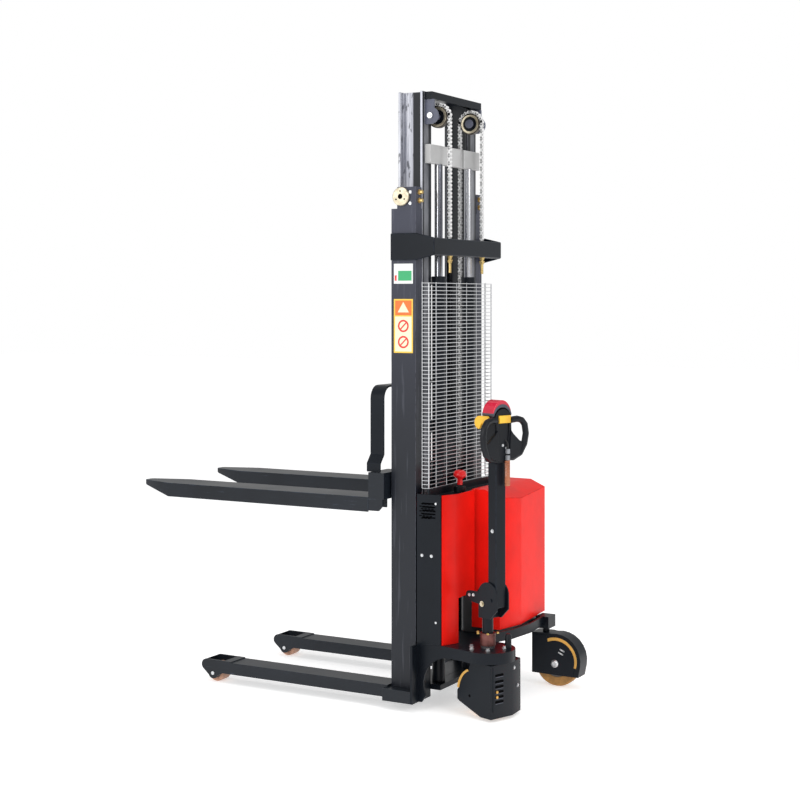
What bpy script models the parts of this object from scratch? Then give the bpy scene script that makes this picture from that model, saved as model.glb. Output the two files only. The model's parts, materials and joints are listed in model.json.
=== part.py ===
"""A walkie stacker: a pedestrian electric fork lift with straddle legs and a two-stage mast.

Metres, +Z up, +X towards the fork tips, +Y to the truck's left. Pieces are laid out from
the axle of the load wheels at X = 0, and the whole truck is moved at the end so that the
centre of its footprint is the origin. The forks stand part-raised, the tiller is upright and
steered a little to the left, and every joint is at zero as modelled.
"""

import math

import bmesh
import bpy
from mathutils import Matrix, Vector

# ---- clearances ----
GAP = 0.0003  # between pieces that touch
RUN = 0.001  # around pieces that slide or turn

# ---- mast ----
MAST_WIDTH = 0.600  # over the outer channels
MAST_FRONT = -0.868
MAST_DEPTH = 0.112
MAST_FOOT = 0.085
MAST_TOP = 2.020
CHANNEL_WEB = 0.010
CHANNEL_FLANGE = 0.012
CHANNEL_REACH = 0.055
BEAM_REACH = 0.078  # inner beam, flange tip to flange tip across the truck
BEAM_DEPTH = 0.112
BEAM_FLANGE = 0.010
BEAM_WEB = 0.010
BEAM_FOOT = 0.480
BEAM_LENGTH = 2.020
HEAD_HEIGHT = 0.030
HEAD_BACK = 0.035  # the crosshead's lip, behind the mast
HEAD_HALF = 0.225
ROLLER_RADIUS = 0.0375

# ---- lift: rods, pulleys and chains ----
ROD_RADIUS = 0.0175
BARREL_RADIUS = 0.030
BARREL_TOP = 1.747
CROSSBAR_BOTTOM = 2.207
CROSSBAR_HEIGHT = 0.077
PULLEY_RADIUS = 0.0455
PULLEY_BACK = 0.0245  # the pulleys' axis, behind the mast
PULLEY_WIDTH = 0.026
PULLEY_AXLE = 0.012
PULLEY_Z = 2.400
CHAIN_PITCH_RADIUS = 0.052
CHAIN_WIDTH = 0.014
CHAIN_THICK = 0.012
BRACE_BOTTOM = 1.810
BRACE_HEIGHT = 0.110
BRACE_BAR_HEIGHT = 0.070
BRACE_DEPTH = 0.090  # behind the mast
LIFT_DOWN = 0.370  # from the height shown to the lowest
LIFT_UP = 1.050  # from the height shown to the highest

# ---- forks and carriage ----
FORK_LENGTH = 1.188
FORK_HEEL = -0.788
FORK_Y = 0.270
FORK_WIDTH = 0.160
FORK_TOP = 0.850
FORK_DEPTH = 0.060
FORK_PLATE = 0.006
CARRIAGE_WIDTH = 0.700
CARRIAGE_TOP = 0.951
HOOP_BAR = 0.063
HOOP_THICK = 0.008
HOOP_TOP = 1.301

# ---- straddle legs ----
LEG_WIDTH = 0.108
LEG_BOTTOM = 0.044
LEG_TOP = 0.094
LEG_CHEEK = 0.009
LOAD_RADIUS = 0.040
LOAD_WIDTH = 0.060
LOAD_AXLE = 0.008

# ---- chassis and body ----
DECK_TOP = 0.270
DECK_THICK = 0.008
HEAD_PLATE_THICK = 0.045
BODY_TOP = 0.870
SHEET = 0.003
COVER_BOTTOM = 0.300
COVER_EDGE = 0.045  # the battery cover's left flank, off the middle
COVER_SHOULDER = 0.827
BODY_DEPTH = 0.282  # from the mast's back to the battery cover's back
GUARD_BOTTOM = 0.890
GUARD_TOP = 1.720

# ---- drive unit and tiller, about the steering axis ----
STEER_BACK = 0.290  # behind the mast
STEER_REST = -19.0  # degrees, the drive unit's back turned to the left
DRIVE_RADIUS = 0.098
DRIVE_WIDTH = 0.070
DRIVE_OFFSET = 0.012
SHAFT_RADIUS = 0.0275
COLUMN_RADIUS = 0.022
TILLER_X = -0.050
TILLER_Z = 0.467
ARM_DEPTH = 0.045
ARM_WIDTH = 0.055
ARM_TOP = 1.010
HEAD_X = TILLER_X
HEAD_DEPTH = 0.070
LOOP_RADIUS = 0.013

# ---- caster ----
CASTER_BEHIND = 0.001  # behind the battery cover
CASTER_RADIUS = 0.100
CASTER_WIDTH = 0.045
CASTER_TRAIL = 0.057
CASTER_AXLE = 0.008

# ---- places that follow from the sizes above ----
MAST_HALF = MAST_WIDTH / 2
MAST_BACK = MAST_FRONT - MAST_DEPTH
BRACE_BACK = MAST_BACK - BRACE_DEPTH
STEER_X = MAST_BACK - STEER_BACK
COVER_FRONT = MAST_BACK - 0.062
COVER_BACK = MAST_BACK - BODY_DEPTH
CASTER_X = COVER_BACK - CASTER_BEHIND
COVER_RIM = COVER_BACK + 0.030  # where the battery cover's flat back turns into its flanks
DECK_BACK = COVER_BACK + 0.057
PANEL_BACK = MAST_BACK - 0.114  # the rear end of the left side panel and the top panel
BEAM_OUT = MAST_HALF - CHANNEL_REACH - 0.002
BEAM_IN = BEAM_OUT - BEAM_REACH
BEAM_BACK = MAST_FRONT - BEAM_DEPTH
BEAM_TOP = BEAM_FOOT + BEAM_LENGTH
ROLLER_X = MAST_FRONT - BEAM_FLANGE - ROLLER_RADIUS - RUN
ROLLER_Z = MAST_TOP + 0.048
CHAIN_Y = BEAM_IN - PULLEY_WIDTH / 2 - 0.004
ROD_X = MAST_BACK - 0.0175
ROD_Y = BEAM_IN - BARREL_RADIUS
PULLEY_X = MAST_BACK - PULLEY_BACK
BRACE_MID = BRACE_BOTTOM + BRACE_HEIGHT / 2
CARRIAGE_HALF = CARRIAGE_WIDTH / 2
CARRIAGE_BACK = FORK_HEEL - 0.061
LEG_Y = MAST_HALF - 0.022
STEER_Y = MAST_HALF - 0.068
CASTER_Y = -MAST_HALF - 0.054
HEAD_PLATE_BOTTOM = DECK_TOP - HEAD_PLATE_THICK
SIDES = {"left": 1, "right": -1}

MATERIALS = {
    "black_paint": ((0.035, 0.040, 0.048), 0.35, 0.0),
    "worn_steel": ((0.42, 0.43, 0.46), 0.45, 0.9),
    "red_paint": ((0.80, 0.035, 0.020), 0.25, 0.0),
    "chrome": ((0.80, 0.80, 0.80), 0.08, 1.0),
    "grey_paint": ((0.55, 0.56, 0.57), 0.45, 0.0),
    "zinc": ((0.72, 0.69, 0.60), 0.35, 0.9),
    "chain_steel": ((0.22, 0.19, 0.16), 0.40, 0.9),
    "guard_wire": ((0.62, 0.63, 0.65), 0.35, 0.9),
    "tan_tyre": ((0.55, 0.30, 0.20), 0.55, 0.0),
    "amber_tyre": ((0.70, 0.36, 0.08), 0.50, 0.0),
    "copper_ring": ((0.48, 0.24, 0.19), 0.35, 0.9),
    "black_plastic": ((0.020, 0.022, 0.026), 0.45, 0.0),
    "red_plastic": ((0.70, 0.010, 0.040), 0.25, 0.0),
    "yellow_plastic": ((0.85, 0.50, 0.06), 0.40, 0.0),
    "battery_case": ((0.10, 0.10, 0.11), 0.50, 0.0),
    "cast_metal": ((0.30, 0.30, 0.31), 0.50, 0.8),
}


# ---------------------------------------------------------------- collections and finishing


def clear_scene():
    for old in list(bpy.data.objects):
        bpy.data.objects.remove(old)


def new_collection(name):
    made = bpy.data.collections.new(name)
    bpy.context.scene.collection.children.link(made)
    return made


def make_materials():
    made = {}
    for name, (colour, roughness, metallic) in MATERIALS.items():
        material = bpy.data.materials.new(name)
        material.use_nodes = True
        shader = material.node_tree.nodes["Principled BSDF"]
        shader.inputs["Base Color"].default_value = (*colour, 1.0)
        shader.inputs["Roughness"].default_value = roughness
        shader.inputs["Metallic"].default_value = metallic
        made[name] = material
    return made


def axis_empty(name, location, parent=None, turn=0.0):
    """An empty on a joint's axis, turned about Z by turn degrees."""
    empty = bpy.data.objects.new(name, None)
    TRUCK.objects.link(empty)
    empty.location = location
    empty.rotation_euler = (0.0, 0.0, math.radians(turn))
    empty.parent = parent
    return empty


def finish(piece, name, material, parent):
    """Names a piece, gives it its material and hangs it on its parent."""
    piece.name = name
    piece.data.name = name
    piece.data.materials.clear()
    piece.data.materials.append(MATERIAL[material])
    piece.parent = parent
    return piece


def smooth(piece, angle=35.0):
    """Shades a round piece smooth, with its hard edges kept."""
    piece.data.shade_smooth()
    piece.data.set_sharp_from_angle(angle=math.radians(angle))
    return piece


# ---------------------------------------------------------------- outlines


def arc(centre, radius, start, end, steps):
    """Points along an arc, with angles in degrees, both ends included."""
    points = []
    for i in range(steps + 1):
        angle = math.radians(start + (end - start) * i / steps)
        points.append((centre[0] + radius * math.cos(angle), centre[1] + radius * math.sin(angle)))
    return points


def ribbon(path, thickness):
    """The closed outline of a strip of one thickness that follows a path."""
    points = [Vector(p) for p in path]
    left, right = [], []
    for i, point in enumerate(points):
        before = (point - points[i - 1]).normalized() if i > 0 else None
        after = (points[i + 1] - point).normalized() if i < len(points) - 1 else None
        along = ((before or after) + (after or before)).normalized()
        lean = along.dot(before or after)
        offset = Vector((-along.y, along.x)) * thickness / 2 / lean
        left.append(tuple(point + offset))
        right.append(tuple(point - offset))
    return left + right[::-1]


def mirrored(outline, side):
    """An outline in X and Y, for the left side as given or for the right."""
    return [(x, side * y) for x, y in outline]


# ---------------------------------------------------------------- solids


def as_object(mesh_data, name="piece"):
    made = bpy.data.objects.new(name, mesh_data)
    TRUCK.objects.link(made)
    return made


def turn_outward(shape):
    """Points every face of a closed shape outwards."""
    shape.normal_update()
    bmesh.ops.recalc_face_normals(shape, faces=shape.faces)
    if shape.calc_volume(signed=True) < 0:
        bmesh.ops.reverse_faces(shape, faces=shape.faces)


def from_bmesh(shape, name="piece"):
    turn_outward(shape)
    data = bpy.data.meshes.new(name)
    shape.to_mesh(data)
    shape.free()
    return as_object(data, name)


def baked(source, weld=1e-6):
    """Replaces an object by the plain mesh that its curve or modifiers make."""
    bpy.context.view_layer.update()
    graph = bpy.context.evaluated_depsgraph_get()
    data = bpy.data.meshes.new_from_object(source.evaluated_get(graph))
    shape = bmesh.new()
    shape.from_mesh(data)
    bmesh.ops.remove_doubles(shape, verts=shape.verts, dist=weld)
    turn_outward(shape)
    shape.to_mesh(data)
    shape.free()
    made = as_object(data, source.name)
    made.matrix_world = source.matrix_world.copy()
    bpy.data.objects.remove(source)
    return made


def box(x, y, z):
    """A box from three spans, each given as two ends in any order."""
    spans = [sorted(span) for span in (x, y, z)]
    size = [high - low for low, high in spans]
    centre = [(high + low) / 2 for low, high in spans]
    shape = bmesh.new()
    bmesh.ops.create_cube(shape, size=1.0)
    bmesh.ops.scale(shape, vec=size, verts=shape.verts)
    bmesh.ops.translate(shape, vec=centre, verts=shape.verts)
    return from_bmesh(shape)


TURNS = {
    "X": Matrix.Rotation(math.radians(90), 4, "Y"),
    "Y": Matrix.Rotation(math.radians(-90), 4, "X"),
    "Z": Matrix.Identity(4),
}


def rod(radius, axis, centre, span, sides=24):
    """A round bar along an axis: centre gives its two other coordinates."""
    low, high = sorted(span)
    shape = bmesh.new()
    bmesh.ops.create_cone(
        shape,
        cap_ends=True,
        segments=sides,
        radius1=radius,
        radius2=radius,
        depth=high - low,
        matrix=TURNS[axis],
    )
    middle = list(centre)
    middle.insert("XYZ".index(axis), (low + high) / 2)
    bmesh.ops.translate(shape, vec=middle, verts=shape.verts)
    return from_bmesh(shape)


def prism(outline, axis, span):
    """A flat outline given thickness. It is drawn in the two other axes, in XYZ order."""
    low, high = sorted(span)
    curve = bpy.data.curves.new("outline", "CURVE")
    curve.dimensions = "2D"
    curve.fill_mode = "BOTH"
    curve.extrude = (high - low) / 2
    line = curve.splines.new("POLY")
    line.points.add(len(outline) - 1)
    for point, (a, b) in zip(line.points, outline):
        point.co = (a, b, 0.0, 1.0)
    line.use_cyclic_u = True
    piece = baked(as_object(curve))
    place = {"X": (2, 0, 1), "Y": (0, 2, 1), "Z": (0, 1, 2)}[axis]
    shape = bmesh.new()
    shape.from_mesh(piece.data)
    for vertex in shape.verts:
        flat = (vertex.co.x, vertex.co.y, vertex.co.z + (low + high) / 2)
        vertex.co = [flat[i] for i in place]
    turn_outward(shape)
    shape.to_mesh(piece.data)
    shape.free()
    return piece


def turned(profile, steps=32, closed=False):
    """A body turned about Z from a profile of (radius, height) points."""
    shape = bmesh.new()
    points = [shape.verts.new((radius, 0.0, height)) for radius, height in profile]
    for first, second in zip(points, points[1:]):
        shape.edges.new((first, second))
    if closed:
        shape.edges.new((points[-1], points[0]))
    data = bpy.data.meshes.new("profile")
    shape.to_mesh(data)
    shape.free()
    piece = as_object(data)
    screw = piece.modifiers.new("turn", "SCREW")
    screw.steps = steps
    screw.render_steps = steps
    screw.use_merge_vertices = True
    screw.merge_threshold = 0.00005
    return baked(piece)


def tube(points, radius, sides_level=2):
    """A round tube with closed ends along a path."""
    curve = bpy.data.curves.new("path", "CURVE")
    curve.dimensions = "3D"
    curve.bevel_depth = radius
    curve.bevel_resolution = sides_level
    curve.use_fill_caps = True
    line = curve.splines.new("POLY")
    line.points.add(len(points) - 1)
    for point, place in zip(line.points, points):
        point.co = (*place, 1.0)
    return baked(as_object(curve), weld=1e-5)


def laid_along_y(piece):
    """Turns a piece made about Z so that its axis runs along Y."""
    piece.data.transform(TURNS["Y"])
    return piece


def boolean(target, tool, operation):
    step = target.modifiers.new("cut", "BOOLEAN")
    step.object = tool
    step.operation = operation
    made = baked(target)
    bpy.data.objects.remove(tool)
    return made


def joined(target, *tools):
    for tool in tools:
        target = boolean(target, tool, "UNION")
    return target


def cut(target, *tools):
    for tool in tools:
        target = boolean(target, tool, "DIFFERENCE")
    return target


def common(target, tool):
    return boolean(target, tool, "INTERSECT")


# ---------------------------------------------------------------- straddle legs


def leg(side):
    """A leg beam with its mast socket and the forked end that holds the load wheel."""
    inside, outside = LEG_Y - LEG_WIDTH / 2, LEG_Y + LEG_WIDTH / 2
    heel = MAST_FRONT + GAP
    beam = box((heel, -0.08), (side * inside, side * outside), (LEG_BOTTOM, LEG_TOP))
    socket = box(
        (heel + 0.012, MAST_BACK - 0.004),
        (side * (MAST_HALF - 0.060), side * (MAST_HALF + 0.055)),
        (0.035, MAST_FOOT - GAP),
    )
    nose = (
        [(-0.095, LEG_BOTTOM), (-0.095, LEG_TOP + 0.004), (0.036, LEG_TOP + 0.004)]
        + arc((0.036, 0.074), 0.024, 75, -40, 5)
        + arc((0.0, LOAD_RADIUS), 0.024, -20, -160, 6)
        + [(-0.05, LEG_BOTTOM)]
    )
    end = prism(nose, "Y", (side * inside, side * outside))
    pocket = box(
        (-0.056, 0.048),
        (side * (inside + LEG_CHEEK), side * (outside - LEG_CHEEK)),
        (0.0, LEG_TOP + 0.05),
    )
    bore = rod(LOAD_AXLE + GAP, "Y", (0.0, LOAD_RADIUS), (side * inside / 2, side * 2 * outside))
    return cut(joined(beam, socket, end), pocket, bore)


def load_axle(side):
    reach = LEG_WIDTH / 2 + 0.003
    middle = (0.0, LOAD_RADIUS)
    return rod(LOAD_AXLE, "Y", middle, (side * (LEG_Y - reach), side * (LEG_Y + reach)))


def wheel(radius, width, bore, edge=0.006, steps=32):
    """A tyred wheel about its own centre, its axis along Y."""
    half = width / 2
    profile = [
        (bore, half * 0.8),
        (radius * 0.55, half * 0.8),
        (radius * 0.62, half),
        (radius - edge, half),
        (radius, half - edge),
        (radius, edge - half),
        (radius - edge, -half),
        (radius * 0.62, -half),
        (radius * 0.55, -half * 0.8),
        (bore, -half * 0.8),
    ]
    return smooth(laid_along_y(turned(profile, steps, closed=True)))


# ---------------------------------------------------------------- mast


def outer_mast(side):
    """A channel open to the middle, with the bracket of its top roller."""
    inner = MAST_HALF - CHANNEL_REACH
    web = MAST_HALF - CHANNEL_WEB
    front, back = MAST_FRONT - CHANNEL_FLANGE, MAST_BACK + CHANNEL_FLANGE
    outline = [
        (MAST_FRONT, inner),
        (MAST_FRONT, MAST_HALF),
        (MAST_BACK, MAST_HALF),
        (MAST_BACK, inner),
        (back, inner),
        (back, web),
        (front, web),
        (front, inner),
    ]
    channel = prism(mirrored(outline, side), "Z", (MAST_FOOT, MAST_TOP))
    plate = box(
        (ROLLER_X + 0.022, MAST_BACK),
        (side * (MAST_HALF - 0.012), side * MAST_HALF),
        (MAST_TOP - 0.04, ROLLER_Z + 0.039),
    )
    block = box(
        (MAST_BACK + 0.022, MAST_BACK),
        (side * (inner + 0.006), side * (MAST_HALF - 0.005)),
        (MAST_TOP - 0.04, ROLLER_Z + 0.039),
    )
    bore = rod(0.0125, "Y", (ROLLER_X, ROLLER_Z), (side * inner, side * (MAST_HALF + 0.05)))
    return cut(joined(channel, plate, block), bore)


def top_roller(side):
    """The roller that guides the inner beam, with the cap outside its bracket."""
    tread = MAST_HALF - 0.013
    inner = BEAM_OUT - BEAM_REACH / 2 + BEAM_WEB / 2 + 2 * RUN
    profile = [
        (0.0, 0.014),
        (ROLLER_RADIUS - 0.003, 0.014),
        (ROLLER_RADIUS, 0.011),
        (ROLLER_RADIUS, RUN),
        (0.0115, RUN),
        (0.0115, tread - MAST_HALF),
        (ROLLER_RADIUS, tread - MAST_HALF),
        (ROLLER_RADIUS, inner - MAST_HALF),
        (0.0, inner - MAST_HALF),
    ]
    piece = laid_along_y(turned(profile))
    if side < 0:
        piece.data.transform(Matrix.Rotation(math.pi, 4, "Z"))
    piece.location = (ROLLER_X, side * MAST_HALF, ROLLER_Z)
    return smooth(piece)


def inner_beam(side):
    """An H section inside the outer channel."""
    web_out = BEAM_IN + BEAM_REACH / 2 + BEAM_WEB / 2
    web_in = web_out - BEAM_WEB
    front, back = MAST_FRONT - BEAM_FLANGE, BEAM_BACK + BEAM_FLANGE
    outline = [
        (MAST_FRONT, BEAM_IN),
        (MAST_FRONT, BEAM_OUT),
        (front, BEAM_OUT),
        (front, web_out),
        (back, web_out),
        (back, BEAM_OUT),
        (BEAM_BACK, BEAM_OUT),
        (BEAM_BACK, BEAM_IN),
        (back, BEAM_IN),
        (back, web_in),
        (front, web_in),
        (front, BEAM_IN),
    ]
    return prism(mirrored(outline, side), "Z", (BEAM_FOOT, BEAM_TOP))


def crosshead():
    """The plate between the beams' tops, with a lip behind them."""
    top = BEAM_TOP - 0.003
    back = MAST_BACK - HEAD_BACK
    reach = BEAM_IN - GAP
    plate = box((MAST_FRONT - 0.006, back + 0.002), (-reach, reach), (top - 0.012, top - 0.0005))
    lip = box((BEAM_BACK - GAP, back), (-HEAD_HALF, HEAD_HALF), (top - HEAD_HEIGHT, top))
    hollow = box(
        (BEAM_BACK + 0.010, back + 0.008), (-reach, reach), (top - HEAD_HEIGHT - 0.010, top - 0.0125)
    )
    return joined(cut(lip, hollow), plate)


def crossbar():
    """The light bar that the piston rods push up, with a slot for the hoses."""
    top = CROSSBAR_BOTTOM + CROSSBAR_HEIGHT
    reach = BEAM_OUT - 0.018
    back = BEAM_BACK - 0.028
    bar = box((BEAM_BACK - GAP, back), (-reach, reach), (CROSSBAR_BOTTOM, top))
    slot = box((back + 0.014, back - 0.05), (-0.078, -0.042), (CROSSBAR_BOTTOM - 0.01, top + 0.01))
    return cut(bar, slot)


def beam_tie():
    """The bar between the inner beams at their feet."""
    middle = (MAST_FRONT + BEAM_BACK) / 2 - 0.010
    reach = BEAM_IN - GAP
    return box((middle + 0.025, middle - 0.025), (-reach, reach), (BEAM_FOOT, BEAM_FOOT + 0.040))


def cross_brace():
    """The bridge over the back of the outer mast that also anchors the chains."""
    half = BRACE_BAR_HEIGHT / 2
    cheek = [
        (MAST_FRONT, BRACE_BOTTOM),
        (MAST_FRONT, BRACE_BOTTOM + BRACE_HEIGHT),
        (MAST_BACK - 0.005, BRACE_BOTTOM + BRACE_HEIGHT),
        (BRACE_BACK, BRACE_MID + half),
        (BRACE_BACK, BRACE_MID - half),
        (MAST_BACK - 0.005, BRACE_BOTTOM),
    ]
    bar = box(
        (BRACE_BACK, BRACE_BACK + 0.042),
        (-MAST_HALF - 0.009, MAST_HALF + 0.009),
        (BRACE_MID - half, BRACE_MID + half),
    )
    for side in SIDES.values():
        span = (side * (MAST_HALF + GAP), side * (MAST_HALF + 0.010))
        bar = joined(bar, prism(cheek, "Y", span))
    return bar


def lower_tie():
    """The plate across the feet of the outer mast, on which the cylinders stand."""
    reach = MAST_HALF - 0.0605
    top = MAST_FOOT - 2 * GAP
    wide = box((MAST_FRONT - 0.007, MAST_BACK - 0.004), (-reach, reach), (0.062, top))
    shelf = box(
        (MAST_BACK + 0.010, ROD_X - 0.040), (0.046 - reach, reach - 0.046), (0.0625, top - 0.0005)
    )
    return joined(wide, shelf)


def barrel(side):
    """A lift cylinder: its tube and the gland that the rod leaves by."""
    bore = ROD_RADIUS + RUN
    gland = BARREL_TOP - 0.035
    profile = [
        (0.0, MAST_FOOT + 0.015),
        (bore, MAST_FOOT + 0.015),
        (bore, BARREL_TOP),
        (BARREL_RADIUS - 0.002, BARREL_TOP),
        (BARREL_RADIUS, BARREL_TOP - 0.003),
        (BARREL_RADIUS, gland),
        (BARREL_RADIUS - 0.003, gland),
        (BARREL_RADIUS - 0.003, MAST_FOOT - GAP),
        (0.0, MAST_FOOT - GAP),
    ]
    piece = turned(profile)
    piece.location = (ROD_X, side * ROD_Y, 0.0)
    return smooth(piece)


def piston_rod(side):
    foot = MAST_FOOT + 0.035 + LIFT_DOWN
    return smooth(rod(ROD_RADIUS, "Z", (ROD_X, side * ROD_Y), (foot, CROSSBAR_BOTTOM - GAP)))


def pulley_bracket(side):
    """The cheek behind an inner beam that carries a chain pulley's axle."""
    front = BEAM_BACK - GAP
    top = BEAM_TOP - 0.003 - HEAD_HEIGHT - GAP
    neck = PULLEY_X - 0.015
    outline = [(front, PULLEY_Z - 0.0345), (front, top), (neck, top), (neck, PULLEY_Z + 0.031)]
    outline += arc((PULLEY_X, PULLEY_Z), 0.0345, 115, 270, 10)
    outer = BEAM_OUT - 0.023
    cheek = prism(outline, "Y", (side * (outer - 0.010), side * outer))
    end = CHAIN_Y - PULLEY_WIDTH / 2 - 0.006
    axle = rod(PULLEY_AXLE, "Y", (PULLEY_X, PULLEY_Z), (side * end, side * (outer + 0.005)))
    return joined(cheek, axle)


def pulley(side):
    """A wheel that the chain runs over, with a dished hub."""
    half = PULLEY_WIDTH / 2
    run = CHAIN_PITCH_RADIUS - CHAIN_THICK / 2 - 2 * GAP
    rim = min(PULLEY_RADIUS, run)
    hub = 0.030
    profile = [
        (PULLEY_AXLE + GAP, half - 0.004),
        (hub - 0.002, half - 0.004),
        (hub, half),
        (rim - 0.005, half),
        (rim, half - 0.003),
        (rim, 0.003 - half),
        (rim - 0.005, -half),
        (hub, -half),
        (hub - 0.002, 0.004 - half),
        (PULLEY_AXLE + GAP, 0.004 - half),
    ]
    piece = laid_along_y(turned(profile, closed=True))
    piece.location = (PULLEY_X, side * CHAIN_Y, PULLEY_Z)
    return smooth(piece)


def chain(side):
    """A lift chain as one strap: anchor, over the pulley, down to the carriage."""
    anchor = BRACE_MID + BRACE_BAR_HEIGHT / 2 + 2 * GAP
    path = (
        [(PULLEY_X - CHAIN_PITCH_RADIUS, anchor)]
        + arc((PULLEY_X, PULLEY_Z), CHAIN_PITCH_RADIUS, 180, 0, 16)
        + [(PULLEY_X + CHAIN_PITCH_RADIUS, CARRIAGE_TOP + GAP)]
    )
    half = CHAIN_WIDTH / 2
    span = (side * (CHAIN_Y - half), side * (CHAIN_Y + half))
    return prism(ribbon(path, CHAIN_THICK), "Y", span)


# ---------------------------------------------------------------- carriage and forks


def carriage_frame():
    """The heels of the forks, the plate between them and the arms into the inner mast."""
    plate_x = (CARRIAGE_BACK, CARRIAGE_BACK - 0.012)
    floor = FORK_TOP - FORK_PLATE
    frame = box(plate_x, (-CARRIAGE_HALF, CARRIAGE_HALF), (floor, CARRIAGE_TOP))
    for side in SIDES.values():
        frame = joined(frame, fork_heel(side), heel_cheek(side), carriage_arm(side))
    arm_out = BEAM_IN - 0.005
    upper = box(
        (plate_x[0] + 0.001, plate_x[1] + 0.001), (-arm_out, arm_out), (floor + 0.240, floor + 0.295)
    )
    seat = box(
        (CARRIAGE_BACK - 0.004, PULLEY_X + CHAIN_PITCH_RADIUS - 0.008),
        (0.006 - arm_out, arm_out - 0.006),
        (CARRIAGE_TOP - 0.040, CARRIAGE_TOP - GAP),
    )
    return joined(frame, upper, seat)


def fork_heel(side):
    """The hood over a fork's heel, open below so that it passes over the straddle leg."""
    inside, outside = FORK_Y - FORK_WIDTH / 2, CARRIAGE_HALF - GAP
    floor = FORK_TOP - FORK_PLATE - GAP
    hood = box(
        (FORK_HEEL, CARRIAGE_BACK - 0.004), (side * inside, side * outside), (floor, CARRIAGE_TOP - GAP)
    )
    hollow = box(
        (FORK_HEEL - 0.008, CARRIAGE_BACK - GAP),
        (side * (inside + 0.008), side * (outside - 0.008)),
        (floor - 0.05, CARRIAGE_TOP - 0.008),
    )
    return cut(hood, hollow)


def heel_cheek(side):
    """The outer cheek of a heel, with its lower back corner cut off."""
    low = FORK_TOP - FORK_DEPTH + 0.006
    back = CARRIAGE_BACK - 0.005
    outline = [
        (FORK_HEEL - GAP, low),
        (FORK_HEEL - GAP, CARRIAGE_TOP - 0.01),
        (back, CARRIAGE_TOP - 0.01),
        (back, low + 0.020),
        (back + 0.018, low),
    ]
    return prism(outline, "Y", (side * (CARRIAGE_HALF - 0.009), side * (CARRIAGE_HALF - 2 * GAP)))


def carriage_arm(side):
    """An arm that runs back into the inner mast, with stub axles for its rollers."""
    outer = BEAM_IN - 0.005
    floor = FORK_TOP + 0.050
    arm = box(
        (CARRIAGE_BACK - 0.002, PULLEY_X + CHAIN_PITCH_RADIUS + CHAIN_THICK / 2 + 0.002),
        (side * (outer - 0.010), side * outer),
        (floor, FORK_TOP + 0.296),
    )
    for z in carriage_roller_heights():
        span = (side * (outer - 0.005), side * roller_inner())
        arm = joined(arm, rod(0.010, "Y", (carriage_roller_x(), z), span))
    return arm


def carriage_roller_x():
    return (MAST_FRONT + BEAM_BACK) / 2


def carriage_roller_heights():
    return (FORK_TOP + 0.075, FORK_TOP + 0.240)


def roller_inner():
    """How far out the carriage rollers' stub axles reach."""
    return BEAM_IN + BEAM_REACH / 2 - BEAM_WEB / 2 - 3 * RUN


def carriage_roller(side):
    """The upper roller that guides the carriage in the inner beam."""
    radius = (BEAM_DEPTH - 2 * BEAM_FLANGE) / 2 - RUN
    width = roller_inner() - BEAM_IN - RUN
    profile = [
        (0.010 + GAP, width / 2),
        (radius - 0.003, width / 2),
        (radius, width / 2 - 0.003),
        (radius, 0.003 - width / 2),
        (radius - 0.003, -width / 2),
        (0.010 + GAP, -width / 2),
    ]
    piece = laid_along_y(turned(profile, 24, closed=True))
    middle = BEAM_IN + width / 2
    piece.location = (carriage_roller_x(), side * middle, carriage_roller_heights()[1])
    return smooth(piece)


def fork(side):
    """A fork: a folded channel, open below, whose tip tapers in plan and in height."""
    inside, outside = FORK_Y - FORK_WIDTH / 2, FORK_Y + FORK_WIDTH / 2
    tip = FORK_HEEL + FORK_LENGTH
    taper = tip - 0.170
    plan = [
        (FORK_HEEL + GAP, inside),
        (taper, inside),
        (tip - 0.012, FORK_Y - 0.030),
        (tip, FORK_Y - 0.018),
        (tip, FORK_Y + 0.018),
        (tip - 0.012, FORK_Y + 0.030),
        (taper, outside),
        (FORK_HEEL + GAP, outside),
    ]
    solid = prism(mirrored(plan, side), "Z", (FORK_TOP - FORK_DEPTH, FORK_TOP))
    rise = [
        (taper, FORK_TOP - FORK_DEPTH - 0.01),
        (tip + 0.02, FORK_TOP - FORK_DEPTH - 0.01),
        (tip + 0.02, FORK_TOP - 0.020),
        (tip, FORK_TOP - 0.020),
        (taper, FORK_TOP - FORK_DEPTH),
    ]
    channel = box(
        (FORK_HEEL - 0.05, tip - 0.180),
        (side * (inside + FORK_PLATE), side * (outside - FORK_PLATE)),
        (FORK_TOP - 2 * FORK_DEPTH, FORK_TOP - FORK_PLATE),
    )
    relief = prism(rise, "Y", (side * (inside - 0.05), side * (outside + 0.05)))
    return cut(solid, relief, channel)


def load_backrest():
    """A hoop of flat bar: two legs that jog inwards, joined over the top."""
    leg_y = CARRIAGE_HALF - 0.024
    top_y = leg_y - 0.030
    radius = 0.050
    middle = HOOP_TOP - HOOP_THICK / 2
    half_path = [
        (leg_y, CARRIAGE_TOP + GAP),
        (leg_y, CARRIAGE_TOP + 0.034),
        (top_y, CARRIAGE_TOP + 0.069),
    ] + arc((top_y - radius, middle - radius), radius, 0, 90, 6)
    path = half_path + [(-y, z) for y, z in reversed(half_path)]
    back = CARRIAGE_BACK + 0.017
    return prism(ribbon(path, HOOP_THICK), "X", (back, back + HOOP_BAR))


# ---------------------------------------------------------------- chassis


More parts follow.
